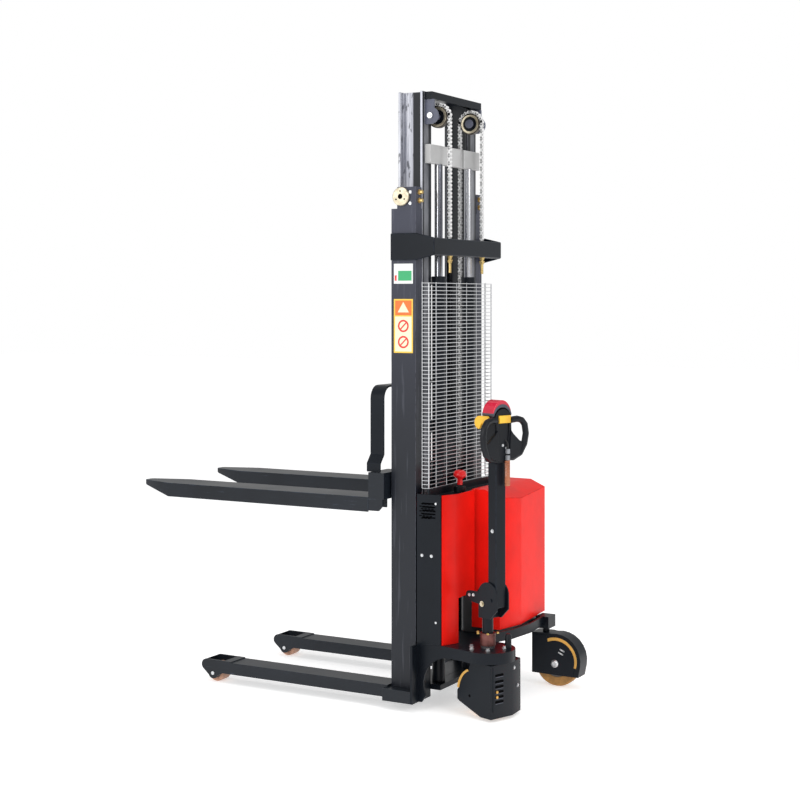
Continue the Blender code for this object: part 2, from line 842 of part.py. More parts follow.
def chassis_base():
    """The welded frame under the body: deck, gussets, steering head and bumper bar."""
    edge = MAST_BACK - 0.005
    deck_floor = DECK_TOP - DECK_THICK
    notch = ROD_X - 0.034
    inner = MAST_HALF - 0.100
    deck = [
        (edge, MAST_HALF),
        (edge, inner),
        (notch, inner),
        (notch, -inner),
        (edge, -inner),
        (edge, -MAST_HALF),
        (DECK_BACK, -MAST_HALF - 0.090),
        (DECK_BACK, MAST_HALF - 0.250),
        (DECK_BACK + 0.055, MAST_HALF),
    ]
    base = prism(deck, "Z", (deck_floor, DECK_TOP))
    head = [(edge, MAST_HALF), (edge - 0.115, MAST_HALF), (STEER_X + 0.070, MAST_HALF + 0.020)]
    head += arc((STEER_X, STEER_Y), 0.110, 80, 270, 14)
    head += [(STEER_X + 0.090, STEER_Y - 0.130), (STEER_X + 0.170, STEER_Y - 0.160)]
    head += [(edge, STEER_Y - 0.020)]
    base = joined(base, prism(head, "Z", (HEAD_PLATE_BOTTOM, DECK_TOP - 0.0002)))
    arch = [(edge, 0.035), (edge, DECK_TOP - 0.001), (edge - 0.175, DECK_TOP - 0.001)]
    arch += [(edge - 0.175, HEAD_PLATE_BOTTOM + 0.001)]
    arch += arc((edge - 0.145, 0.110), 0.115, 90, -25, 8)
    arch += [(edge - 0.023, 0.035)]
    for side in SIDES.values():
        gusset = prism(arch, "Y", (side * (MAST_HALF - 0.008), side * MAST_HALF))
        plate = box(
            (edge, edge - 0.010), (side * inner, side * (MAST_HALF + 0.055)), (0.035, deck_floor + 0.004)
        )
        base = joined(base, gusset, plate)
    bumper = [
        (STEER_X + 0.055, STEER_Y - 0.100),
        (COVER_BACK, STEER_Y - 0.235),
        (COVER_BACK - 0.016, STEER_Y - 0.380),
        (CASTER_X + 0.001, CASTER_Y + 0.020),
    ]
    base = joined(base, prism(ribbon(bumper, 0.009), "Z", (deck_floor - 0.004, COVER_BOTTOM - 0.003)))
    bracket = box(
        (CASTER_X + 0.030, CASTER_X - 0.030), (CASTER_Y - 0.030, CASTER_Y + 0.045), (0.245, 0.296)
    )
    arm = box((DECK_BACK + 0.015, CASTER_X), (CASTER_Y - 0.020, CASTER_Y + 0.020), (deck_floor - 0.006, DECK_TOP))
    bore = rod(SHAFT_RADIUS + RUN, "Z", (STEER_X, STEER_Y), (0.1, 0.4))
    return cut(joined(base, arm, bracket), bore)


# ---------------------------------------------------------------- body


def side_panel(side):
    """A side panel. Only the left one has a patch of vent slots."""
    back = PANEL_BACK if side > 0 else COVER_FRONT + GAP
    panel = box(
        (MAST_BACK - 0.0055, back),
        (side * (MAST_HALF - SHEET), side * MAST_HALF),
        (DECK_TOP + GAP, BODY_TOP),
    )
    if side < 0:
        return panel
    for row in range(5):
        z = 0.775 + 0.014 * row
        slot = box((MAST_BACK - 0.030, MAST_BACK - 0.090), (MAST_HALF - 0.02, MAST_HALF + 0.02), (z, z + 0.006))
        panel = cut(panel, slot)
    return panel


def rear_cover_left():
    """The creased cover beside the tiller, cut away around the steering head."""
    crease = MAST_HALF - 0.075
    back = PANEL_BACK - 0.004
    path = [(back, MAST_HALF - 0.002), (back - 0.032, crease), (back - 0.024, COVER_EDGE + 0.010)]
    cover = prism(ribbon(path, SHEET), "Z", (DECK_TOP + GAP, BODY_TOP))
    opening = box((back + 0.098, back - 0.102), (crease - 0.010, 0.0), (DECK_TOP - 0.05, 0.450))
    return cut(cover, opening)


def cover_shape(inset, bottom):
    """The battery cover's outside, or the same shape inset and open in front for its cavity."""
    middle_front = PANEL_BACK - (0.010 if inset == 0 else -0.094)
    flank = -MAST_HALF - 0.0015
    plan = [
        (middle_front, COVER_EDGE - inset),
        (COVER_RIM + inset, COVER_EDGE - inset),
        (COVER_BACK + inset, -0.100),
        (COVER_RIM + inset, -MAST_HALF - 0.110 + inset),
        (COVER_FRONT - inset, -MAST_HALF - 0.114 + inset),
        (COVER_FRONT - inset, flank),
        (middle_front, flank),
    ]
    solid = prism(plan, "Z", (bottom, BODY_TOP - inset))
    slope = [
        (COVER_BACK + 0.097 + inset, BODY_TOP - inset),
        (COVER_BACK, COVER_SHOULDER - inset),
        (COVER_BACK - 0.038, COVER_SHOULDER - inset),
        (COVER_BACK - 0.038, BODY_TOP + 0.05),
        (COVER_BACK + 0.097 + inset, BODY_TOP + 0.05),
    ]
    return cut(solid, prism(slope, "Y", (-1.0, 0.5)))


def battery_cover():
    return cut(cover_shape(0, COVER_BOTTOM), cover_shape(0.004, COVER_BOTTOM - 0.05))


def top_panel():
    """The panel behind the guard, with the strip that the guard stands on."""
    reach = MAST_HALF - 0.006
    panel = box((ROD_X - 0.034, PANEL_BACK), (-reach, reach), (BODY_TOP - 0.018, BODY_TOP - 0.010))
    strip = box((ROD_X - 0.034, ROD_X - 0.041), (-reach, reach), (BODY_TOP - 0.012, GUARD_BOTTOM - GAP))
    return joined(panel, strip)


def mesh_guard():
    """The finger guard as a coarse lattice with its sides bent forward."""
    reach = MAST_HALF - 0.015
    plane = ROD_X - 0.0375
    columns = [(plane + 0.033, -reach)]
    columns += [(plane, -reach + 2 * reach * i / 6) for i in range(7)]
    columns += [(plane + 0.033, reach)]
    rows = [GUARD_BOTTOM + 0.003 + (GUARD_TOP - GUARD_BOTTOM - 0.006) * i / 8 for i in range(9)]
    shape = bmesh.new()
    grid = [[shape.verts.new((x, y, z)) for x, y in columns] for z in rows]
    for low, high in zip(grid, grid[1:]):
        for a, b, c, d in zip(low, low[1:], high[1:], high):
            shape.faces.new((a, b, c, d))
    piece = from_bmesh(shape)
    wires = piece.modifiers.new("wires", "WIREFRAME")
    wires.thickness = 0.005
    wires.use_even_offset = True
    wires.use_boundary = True
    return baked(piece)


def battery_pack():
    front, back = COVER_FRONT - 0.008, DECK_BACK
    case = box((front, back), (-MAST_HALF - 0.080, 0.012), (DECK_TOP + GAP, 0.490))
    lid = box((front - 0.004, back + 0.005), (-MAST_HALF - 0.075, 0.007), (0.480, 0.500))
    posts = [
        rod(0.009, "Z", (back + 0.040, y), (0.490, 0.516), 16)
        for y in (-MAST_HALF - 0.040, -0.21, -0.17, -0.03)
    ]
    return joined(case, lid, *posts)


def pump_motor():
    place = (MAST_BACK - 0.080, MAST_HALF - 0.100)
    motor = rod(0.048, "Z", place, (DECK_TOP + GAP, 0.440), 32)
    return smooth(joined(motor, rod(0.034, "Z", place, (0.430, 0.479), 24)))


def oil_tank():
    front, back = MAST_BACK - 0.058, PANEL_BACK + 0.002
    tank = box((front, back), (0.120, MAST_HALF - 0.012), (0.4793, 0.760))
    cap = rod(0.015, "Z", ((front + back) / 2, 0.155), (0.750, 0.785), 20)
    return joined(tank, cap)


def motor_controller():
    front, back = COVER_FRONT - 0.018, COVER_FRONT - 0.138
    right = -MAST_HALF - 0.030
    body = box((front, back), (right, right + 0.270), (0.540, 0.600))
    fins = [
        box((front - 0.002, back + 0.002), (y, y + 0.006), (0.595, 0.625)) for y in fin_places(right)
    ]
    feet = [
        box((front - 0.030, front - 0.070), (y, y + 0.02), (0.5003, 0.545))
        for y in (right + 0.030, right + 0.220)
    ]
    return joined(body, *fins, *feet)


def fin_places(right):
    """Where the cooling fins start, across the controller."""
    return [right + 0.005 + 0.028 * i for i in range(10)]


def stop_place():
    return (ROD_X - 0.075, 0.090)


def stop_base():
    return smooth(rod(0.024, "Z", stop_place(), (BODY_TOP - 0.010 + GAP, 0.885), 32))


def stop_button():
    """A mushroom button on its stem."""
    profile = [
        (0.0, 0.952),
        (0.016, 0.950),
        (0.024, 0.944),
        (0.0270, 0.934),
        (0.0270, 0.926),
        (0.020, 0.920),
        (0.012, 0.915),
        (0.011, 0.890),
        (0.0, 0.890),
    ]
    piece = turned(profile, 32)
    piece.location = (*stop_place(), 0.0)
    return smooth(piece)


# ---------------------------------------------------------------- drive unit


def drive_gearbox():
    """The steering shaft, the swivel plate under the head and the drop leg to the axle."""
    shaft = rod(SHAFT_RADIUS, "Z", (0.0, 0.0), (0.205, DECK_TOP + 0.010 - GAP))
    swivel = rod(0.062, "Z", (0.0, 0.0), (0.2035, 0.2135), 32)
    face = DRIVE_WIDTH / 2 + 0.004
    drop = prism(
        [
            (DRIVE_OFFSET - 0.045, 0.212),
            (DRIVE_OFFSET + 0.035, 0.212),
            *arc((DRIVE_OFFSET, DRIVE_RADIUS), 0.035, 0, -180, 8),
        ],
        "Y",
        (-face, -face - 0.014),
    )
    axle = rod(0.014, "Y", (DRIVE_OFFSET, DRIVE_RADIUS), (-face - 0.005, DRIVE_WIDTH / 2 - 0.004))
    return smooth(joined(swivel, shaft, drop, axle))


def drive_motor():
    """The traction motor on the outer side of the drop leg."""
    inner = -DRIVE_WIDTH / 2 - 0.0185
    place = (DRIVE_OFFSET, 0.125)
    body = rod(0.050, "Y", place, (inner, inner - 0.044), 32)
    return smooth(joined(body, rod(0.030, "Y", place, (inner - 0.040, inner - 0.054), 24)))


def drive_cover_plan(inset):
    return [
        (0.110, 0.075 - inset),
        (-0.092 + inset, 0.075 - inset),
        (-0.096 + inset, -0.040),
        (-0.062 + inset, -0.122 + inset),
        (0.060 - inset, -0.122 + inset),
        (0.110, -0.090 + inset),
    ]


def drive_cover():
    """A folded cover around the wheel and motor, open below and in front."""
    top = HEAD_PLATE_BOTTOM - 0.003
    outside = prism(drive_cover_plan(0), "Z", (0.013, top))
    inside = prism(drive_cover_plan(SHEET) + [(0.2, -0.1), (0.2, 0.072)], "Z", (0.0, top - SHEET))
    side = (
        [(-0.2, 0.010), (-0.033, 0.013), (0.085, 0.055), (0.097, 0.062), (0.097, 0.098)]
        + arc((-0.011, 0.098), 0.098, 8, 62, 6)
        + [(0.015, top + 0.01), (-0.2, top + 0.01)]
    )
    shell = common(cut(outside, inside), prism(side, "Y", (-0.3, 0.3)))
    hole = rod(SHAFT_RADIUS + RUN, "Z", (0.0, 0.0), (top - 0.01, top + 0.02))
    return cut(shell, hole)


def steering_ring():
    low, high = DECK_TOP + 0.010, 0.330
    bore = COLUMN_RADIUS + GAP
    profile = [(bore, high), (0.0315, high), (0.0315, low), (bore, low)]
    return smooth(turned(profile, closed=True))


def tiller_bracket():
    """The column over the steering shaft, with two cheeks and the tiller's pin."""
    column = rod(COLUMN_RADIUS, "Z", (0.0, 0.0), (DECK_TOP + 0.010, 0.400))
    face = ARM_WIDTH / 2 + 0.0013
    outer = face + 0.006
    block = box((-0.030, 0.018), (-outer, outer), (0.392, 0.412))
    cheek = (
        [(-0.045, 0.392), (0.018, 0.392), (0.018, 0.445), (0.070, 0.452)]
        + arc((0.070, 0.472), 0.020, -90, 90, 6)
        + [(0.022, 0.494)]
        + arc((-0.032, 0.485), 0.052, 10, 170, 10)
        + [(-0.084, 0.430)]
    )
    piece = joined(column, block)
    for side in SIDES.values():
        piece = joined(piece, prism(cheek, "Y", (side * face, side * outer)))
    pin = rod(0.007, "Y", (TILLER_X, TILLER_Z), (-outer - 0.004, outer + 0.004))
    return joined(piece, pin)


# ---------------------------------------------------------------- tiller, about its pin


def tiller_arm():
    half_depth, half_width = ARM_DEPTH / 2, ARM_WIDTH / 2
    arm = box((-half_depth, half_depth), (-half_width, half_width), (-0.030, ARM_TOP - TILLER_Z))
    return cut(arm, rod(0.007 + GAP, "Y", (0.0, 0.0), (-half_width - 0.01, half_width + 0.01)))


def head_crown(rise):
    """The head's top edge in Y and Z, raised by rise."""
    return [(y, z + rise) for y, z in arc((0.0, 1.176 - TILLER_Z), 0.046, 12, 168, 12)]


def tiller_head():
    """The control head: a waisted housing with a closed hand loop on each side."""
    front = HEAD_X - TILLER_X + HEAD_DEPTH / 2
    back = front - HEAD_DEPTH
    floor = ARM_TOP - TILLER_Z + GAP
    housing = [(-0.028, floor), (0.028, floor), (0.050, floor + 0.060)]
    housing += head_crown(0.0) + [(-0.050, floor + 0.060)]
    head = prism(housing, "X", (back, front))
    for side in SIDES.values():
        route = [
            (back + 0.012, side * 0.028, floor + 0.162),
            (back - 0.004, side * 0.048, floor + 0.168),
            (back - 0.006, side * 0.072, floor + 0.170),
            (back - 0.008, side * 0.096, floor + 0.164),
            (back - 0.009, side * 0.112, floor + 0.146),
            (back - 0.009, side * 0.119, floor + 0.110),
            (back - 0.006, side * 0.113, floor + 0.070),
            (back, side * 0.094, floor + 0.034),
            (back + 0.010, side * 0.062, floor + 0.016),
            (back + 0.022, side * 0.015, floor + 0.020),
        ]
        head = joined(head, tube(route, LOOP_RADIUS))
    bore = rod(throttle_axle() + GAP, "Y", throttle_place(), (-0.1, 0.1), 20)
    pocket = box((back - 0.01, back + 0.006), button_span(0.001), button_height(0.001))
    return smooth(cut(head, bore, pocket))


def throttle_place():
    return (HEAD_X - TILLER_X + 0.020, 1.168 - TILLER_Z)


def throttle_axle():
    return 0.007


def throttle_butterfly():
    """Two thumb wings on one spindle through the head."""
    x, z = throttle_place()
    spindle = rod(throttle_axle(), "Y", (x, z), (-0.060, 0.060), 20)
    wing = (
        [(x + 0.018, z - 0.026)]
        + arc((x + 0.016, z), 0.026, -60, 90, 6)
        + [(x - 0.026, z + 0.026), (x - 0.034, z + 0.018), (x - 0.030, z - 0.006)]
        + arc((x - 0.008, z - 0.012), 0.014, 120, 40, 4)
    )
    for side in SIDES.values():
        spindle = joined(spindle, prism(wing, "Y", (side * 0.0515, side * 0.063)))
    return spindle


def button_span(margin):
    return (-0.038 - margin, 0.025 + margin)


def button_height(margin):
    return (1.166 - TILLER_Z - margin, 1.196 - TILLER_Z + margin)


def lift_button():
    back = HEAD_X - TILLER_X - HEAD_DEPTH / 2
    return box((back - 0.006, back + 0.0035), button_span(0.0), button_height(0.0))


def belly_button():
    """The safety button that caps the head."""
    front = HEAD_X - TILLER_X + HEAD_DEPTH / 2
    under = [(y * 1.06, z) for y, z in head_crown(0.0065)]
    over = [(y * 1.11, z + 0.028 * (1 - (y / 0.075) ** 2)) for y, z in head_crown(0.0065)]
    return prism(under + over[::-1], "X", (front - 0.004, front - HEAD_DEPTH + 0.004))


# ---------------------------------------------------------------- caster, about its swivel axis


def caster_fork():
    """The swivel stem, crown, two legs and the axle, in one welding."""
    face = CASTER_WIDTH / 2 + 0.004
    stem = rod(0.014, "Z", (0.0, 0.0), (0.207, 0.2447))
    crown = box((-0.078, 0.022), (-face - 0.005, face + 0.005), (0.205, 0.213))
    leg_shape = (
        [(-0.078, 0.212), (0.018, 0.212)]
        + arc((-CASTER_TRAIL, CASTER_RADIUS), 0.020, 30, -210, 10)
    )
    fork_piece = joined(crown, stem)
    for side in SIDES.values():
        span = (side * face, side * (face + 0.005))
        fork_piece = joined(fork_piece, prism(leg_shape, "Y", span))
    axle = rod(CASTER_AXLE, "Y", (-CASTER_TRAIL, CASTER_RADIUS), (-face - 0.017, face + 0.017))
    return joined(fork_piece, axle)


def caster_outline(inset):
    rear = arc((-CASTER_TRAIL - 0.005, CASTER_RADIUS + 0.015), 0.112 - inset, 78, 190, 8)
    return (
        [(0.050 - inset, 0.052 - 3 * inset), (0.050 - inset, 0.225 - inset)]
        + [(-0.020, 0.227 - inset)]
        + rear
        + [(-0.163 + inset, 0.050 - 3 * inset)]
    )


def caster_cover():
    """A hooded cover over the caster wheel, open below."""
    half = CASTER_WIDTH / 2 + 0.016
    inner = half - SHEET
    hood = prism(caster_outline(0.0), "Y", (-half, half))
    hollow = prism(caster_outline(SHEET), "Y", (-inner, inner))
    hole = rod(0.014 + RUN, "Z", (0.0, 0.0), (0.20, 0.25))
    bore = rod(CASTER_AXLE + GAP, "Y", (-CASTER_TRAIL, CASTER_RADIUS), (-0.1, 0.1))
    return cut(hood, hollow, hole, bore)


# ---------------------------------------------------------------- assembly


def build_chassis(truck):
    finish(chassis_base(), "chassis_base", "black_paint", truck)
    finish(lower_tie(), "mast_lower_tie", "black_paint", truck)
    finish(cross_brace(), "mast_cross_brace", "black_paint", truck)
    for name, side in SIDES.items():
        finish(leg(side), f"leg_{name}", "black_paint", truck)
        finish(load_axle(side), f"load_axle_{name}", "zinc", truck)
        finish(outer_mast(side), f"outer_mast_{name}", "black_paint", truck)
        finish(barrel(side), f"lift_cylinder_{name}", "black_paint", truck)
        finish(side_panel(side), f"side_panel_{name}", "black_paint", truck)
        finish(top_roller(side), f"top_roller_{name}", "zinc", truck)
        load_wheel = wheel(LOAD_RADIUS, LOAD_WIDTH, LOAD_AXLE + 2 * GAP, 0.004, 28)
        load_wheel.location = (0.0, side * LEG_Y, LOAD_RADIUS)
        finish(load_wheel, f"load_wheel_{name}", "tan_tyre", truck)


def build_body(truck):
    finish(mesh_guard(), "mesh_guard", "guard_wire", truck)
    finish(rear_cover_left(), "rear_cover_left", "red_paint", truck)
    finish(battery_cover(), "battery_cover", "red_paint", truck)
    finish(top_panel(), "top_panel", "black_paint", truck)
    finish(battery_pack(), "battery_pack", "battery_case", truck)
    finish(pump_motor(), "pump_motor", "cast_metal", truck)
    finish(oil_tank(), "oil_tank", "battery_case", truck)
    finish(motor_controller(), "motor_controller", "cast_metal", truck)
    finish(stop_base(), "emergency_stop_base", "black_plastic", truck)
    finish(stop_button(), "emergency_stop_button", "red_plastic", truck)


def build_inner_mast(truck):
    stage = axis_empty("inner_mast_axis", (0.0, 0.0, 0.0), truck)
    finish(crosshead(), "inner_mast_crosshead", "black_paint", stage)
    finish(crossbar(), "inner_mast_crossbar", "grey_paint", stage)
    finish(beam_tie(), "inner_mast_tie", "black_paint", stage)
    for name, side in SIDES.items():
        finish(inner_beam(side), f"inner_mast_{name}", "worn_steel", stage)
        finish(piston_rod(side), f"piston_rod_{name}", "chrome", stage)
        finish(pulley_bracket(side), f"pulley_bracket_{name}", "black_paint", stage)
        finish(pulley(side), f"chain_pulley_{name}", "zinc", stage)
        finish(chain(side), f"lift_chain_{name}", "chain_steel", stage)
    return stage


def build_carriage(stage):
    lift = axis_empty("carriage_axis", (0.0, 0.0, 0.0), stage)
    finish(carriage_frame(), "carriage_frame", "black_paint", lift)
    finish(load_backrest(), "load_backrest", "black_paint", lift)
    for name, side in SIDES.items():
        finish(fork(side), f"fork_{name}", "black_paint", lift)
        finish(carriage_roller(side), f"carriage_roller_{name}", "zinc", lift)


def build_drive(truck):
    steering = axis_empty("steering_axis", (STEER_X, STEER_Y, 0.0), truck, STEER_REST)
    finish(drive_gearbox(), "drive_gearbox", "cast_metal", steering)
    finish(drive_motor(), "drive_motor", "cast_metal", steering)
    finish(drive_cover(), "drive_cover", "black_paint", steering)
    finish(steering_ring(), "steering_ring", "copper_ring", steering)
    finish(tiller_bracket(), "tiller_bracket", "black_paint", steering)
    driven = wheel(DRIVE_RADIUS, DRIVE_WIDTH, 0.014 + GAP, 0.008, 40)
    driven.location = (DRIVE_OFFSET, 0.0, DRIVE_RADIUS)
    finish(driven, "drive_wheel", "amber_tyre", steering)
    pivot = axis_empty("tiller_axis", (TILLER_X, 0.0, TILLER_Z), steering)
    finish(tiller_arm(), "tiller_arm", "black_paint", pivot)
    finish(tiller_head(), "tiller_head", "black_plastic", pivot)
    finish(throttle_butterfly(), "throttle_butterfly", "yellow_plastic", pivot)
    finish(lift_button(), "lift_button", "yellow_plastic", pivot)
    finish(belly_button(), "belly_button", "red_plastic", pivot)


def build_caster(truck):
    swivel = axis_empty("caster_axis", (CASTER_X, CASTER_Y, 0.0), truck)
    finish(caster_fork(), "caster_fork", "zinc", swivel)
    finish(caster_cover(), "caster_cover", "black_paint", swivel)
    rolling = wheel(CASTER_RADIUS, CASTER_WIDTH, CASTER_AXLE + GAP, 0.006, 36)
    rolling.location = (-CASTER_TRAIL, 0.0, CASTER_RADIUS)
    finish(rolling, "caster_wheel", "amber_tyre", swivel)


def stand_on_origin(truck):
    """Moves the truck so that the centre of its footprint is at the origin."""
    bpy.context.view_layer.update()
    corners = [
        piece.matrix_world @ Vector(corner)
        for piece in TRUCK.objects
        if piece.type == "MESH"
        for corner in [vertex.co for vertex in piece.data.vertices]
    ]
    for i in (0, 1):
        values = [corner[i] for corner in corners]
        truck.location[i] -= (min(values) + max(values)) / 2
    bpy.context.view_layer.update()


clear_scene()
TRUCK = new_collection("walkie_stacker")
MATERIAL = make_materials()
root = axis_empty("walkie_stacker_origin", (0.0, 0.0, 0.0))
build_chassis(root)
build_body(root)
build_carriage(build_inner_mast(root))
build_drive(root)
build_caster(root)
stand_on_origin(root)
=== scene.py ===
"""The finished look of a walkie stacker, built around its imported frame.

The CAD nodes whose shape is right are copied with rounded edges and stand in for their nodes.
Fasteners, chain links, guard wires and slots are grown with Geometry Nodes.
"""

import json
import math

import bmesh
import bpy
from mathutils import Matrix, Vector
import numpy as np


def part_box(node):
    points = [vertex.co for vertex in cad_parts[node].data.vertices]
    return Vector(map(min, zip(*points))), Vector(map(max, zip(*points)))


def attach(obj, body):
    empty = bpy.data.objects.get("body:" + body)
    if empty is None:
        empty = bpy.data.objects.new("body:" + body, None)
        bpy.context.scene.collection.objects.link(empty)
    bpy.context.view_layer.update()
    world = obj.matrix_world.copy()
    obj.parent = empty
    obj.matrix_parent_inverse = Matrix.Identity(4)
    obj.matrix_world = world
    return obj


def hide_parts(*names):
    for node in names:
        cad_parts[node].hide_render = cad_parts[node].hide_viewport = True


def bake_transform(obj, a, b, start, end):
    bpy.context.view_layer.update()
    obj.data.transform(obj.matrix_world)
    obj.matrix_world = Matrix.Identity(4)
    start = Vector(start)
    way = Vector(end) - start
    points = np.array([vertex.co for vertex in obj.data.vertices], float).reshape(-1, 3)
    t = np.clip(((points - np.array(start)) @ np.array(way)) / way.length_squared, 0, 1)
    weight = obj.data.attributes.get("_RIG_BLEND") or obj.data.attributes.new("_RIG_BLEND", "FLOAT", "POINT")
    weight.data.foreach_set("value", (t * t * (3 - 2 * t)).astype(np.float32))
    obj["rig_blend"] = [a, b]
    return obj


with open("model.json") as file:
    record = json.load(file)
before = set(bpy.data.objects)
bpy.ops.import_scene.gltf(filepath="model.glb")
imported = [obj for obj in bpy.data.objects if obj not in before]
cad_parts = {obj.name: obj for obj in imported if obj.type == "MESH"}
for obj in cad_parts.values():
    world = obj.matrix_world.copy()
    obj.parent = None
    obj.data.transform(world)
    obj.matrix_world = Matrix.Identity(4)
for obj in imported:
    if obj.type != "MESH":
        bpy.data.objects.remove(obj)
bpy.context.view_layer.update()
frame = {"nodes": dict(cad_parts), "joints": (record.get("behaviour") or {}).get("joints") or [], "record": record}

# ---------------------------------------------------------------- places

JOINTS = {joint["name"]: joint for joint in frame["joints"]}
BODY_OF = {node: body for body, nodes in frame["record"]["behaviour"]["bodies"].items() for node in nodes}


def middle_of(node):
    low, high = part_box(node)
    return (low + high) / 2


LEFT_WHEEL, RIGHT_WHEEL = middle_of("load_wheel_left"), middle_of("load_wheel_right")
TRUCK = Matrix.Translation((LEFT_WHEEL.x, (LEFT_WHEEL.y + RIGHT_WHEEL.y) / 2, 0.0))


def turned_frame(origin):
    """A frame at a point, turned with the steered drive unit."""
    across = -Vector(JOINTS["tiller_tilt"]["axis"])
    ahead = Vector((across.y, -across.x, 0.0))
    turn = Matrix((ahead, across, (0.0, 0.0, 1.0))).transposed().to_4x4()
    return Matrix.Translation(origin) @ turn


STEER_PLACE = JOINTS["steering"]["pos_m"]
DRIVE = turned_frame((STEER_PLACE[0], STEER_PLACE[1], 0.0))
TILLER = turned_frame(JOINTS["tiller_tilt"]["pos_m"])
CASTER_PLACE = JOINTS["caster_swivel"]["pos_m"]
CASTER = Matrix.Translation((CASTER_PLACE[0], CASTER_PLACE[1], 0.0))
SIDES = {"left": 1, "right": -1}

# ---------------------------------------------------------------- camera, light and floor

EYE = Vector((-3.97, 5.76, 1.65))
SIGHT = Vector((0.489, -0.872, 0.0))
LENS = 69.6
DROP = -0.125


def set_camera():
    data = bpy.data.cameras.new("camera")
    data.lens = LENS
    data.sensor_width = 36.0
    data.shift_y = DROP
    camera = bpy.data.objects.new("camera", data)
    camera.location = TRUCK @ EYE
    camera.rotation_euler = (math.pi / 2, 0.0, math.atan2(-SIGHT.x, SIGHT.y))
    bpy.context.scene.collection.objects.link(camera)
    bpy.context.scene.camera = camera


def softbox(name, place, target, size, power):
    data = bpy.data.lights.new(name, "AREA")
    data.shape = "RECTANGLE"
    data.size, data.size_y = size
    data.energy = power
    light = bpy.data.objects.new(name, data)
    light.location = place
    light.rotation_euler = (Vector(target) - Vector(place)).to_track_quat("-Z", "Y").to_euler()
    bpy.context.scene.collection.objects.link(light)


def set_studio():
    """An even white surround that the object itself sees a little dimmer, and three soft boxes."""
    world = bpy.data.worlds.new("studio")
    world.use_nodes = True
    tree = world.node_tree
    sky = tree.nodes["Background"]
    sky.inputs["Color"].default_value = (1.0, 1.0, 1.0, 1.0)
    seen = tree.nodes.new("ShaderNodeLightPath")
    level = tree.nodes.new("ShaderNodeMapRange")
    level.inputs["To Min"].default_value = 0.62
    level.inputs["To Max"].default_value = 1.0
    tree.links.new(seen.outputs["Is Camera Ray"], level.inputs["Value"])
    tree.links.new(level.outputs["Result"], sky.inputs["Strength"])
    bpy.context.scene.world = world
    bpy.context.scene.view_settings.view_transform = "Standard"
    softbox("key", (-5.2, 2.2, 3.6), (-0.3, 0.0, 1.0), (2.2, 2.2), 75.0)
    softbox("side", (0.8, 5.6, 2.6), (-0.2, 0.0, 1.0), (3.0, 3.0), 95.0)
    softbox("top", (-0.6, 0.4, 5.4), (-0.3, 0.0, 0.0), (3.0, 3.0), 60.0)


# ---------------------------------------------------------------- material maths


class Value:
    """An output inside a material, with the usual operators."""

    def __init__(self, paint, socket):
        self.paint, self.socket = paint, socket

    def maths(self, operation, *others):
        return self.paint.put("ShaderNodeMath", {"operation": operation}, [self, *others])

    def __add__(self, other):
        return self.maths("ADD", other)

    def __radd__(self, other):
        return self.maths("ADD", other)

    def __sub__(self, other):
        return self.maths("SUBTRACT", other)

    def __rsub__(self, other):
        return self.paint.put("ShaderNodeMath", {"operation": "SUBTRACT"}, [other, self])

    def __mul__(self, other):
        return self.maths("MULTIPLY", other)

    def above(self, edge, soft=0.02):
        """0 below an edge and 1 above it, blurred by soft to each side."""
        return self.paint.put(
            "ShaderNodeMapRange", {"interpolation_type": "SMOOTHSTEP"}, [self, edge - soft, edge + soft]
        )

    def below(self, edge, soft=0.02):
        return 1 - self.above(edge, soft)


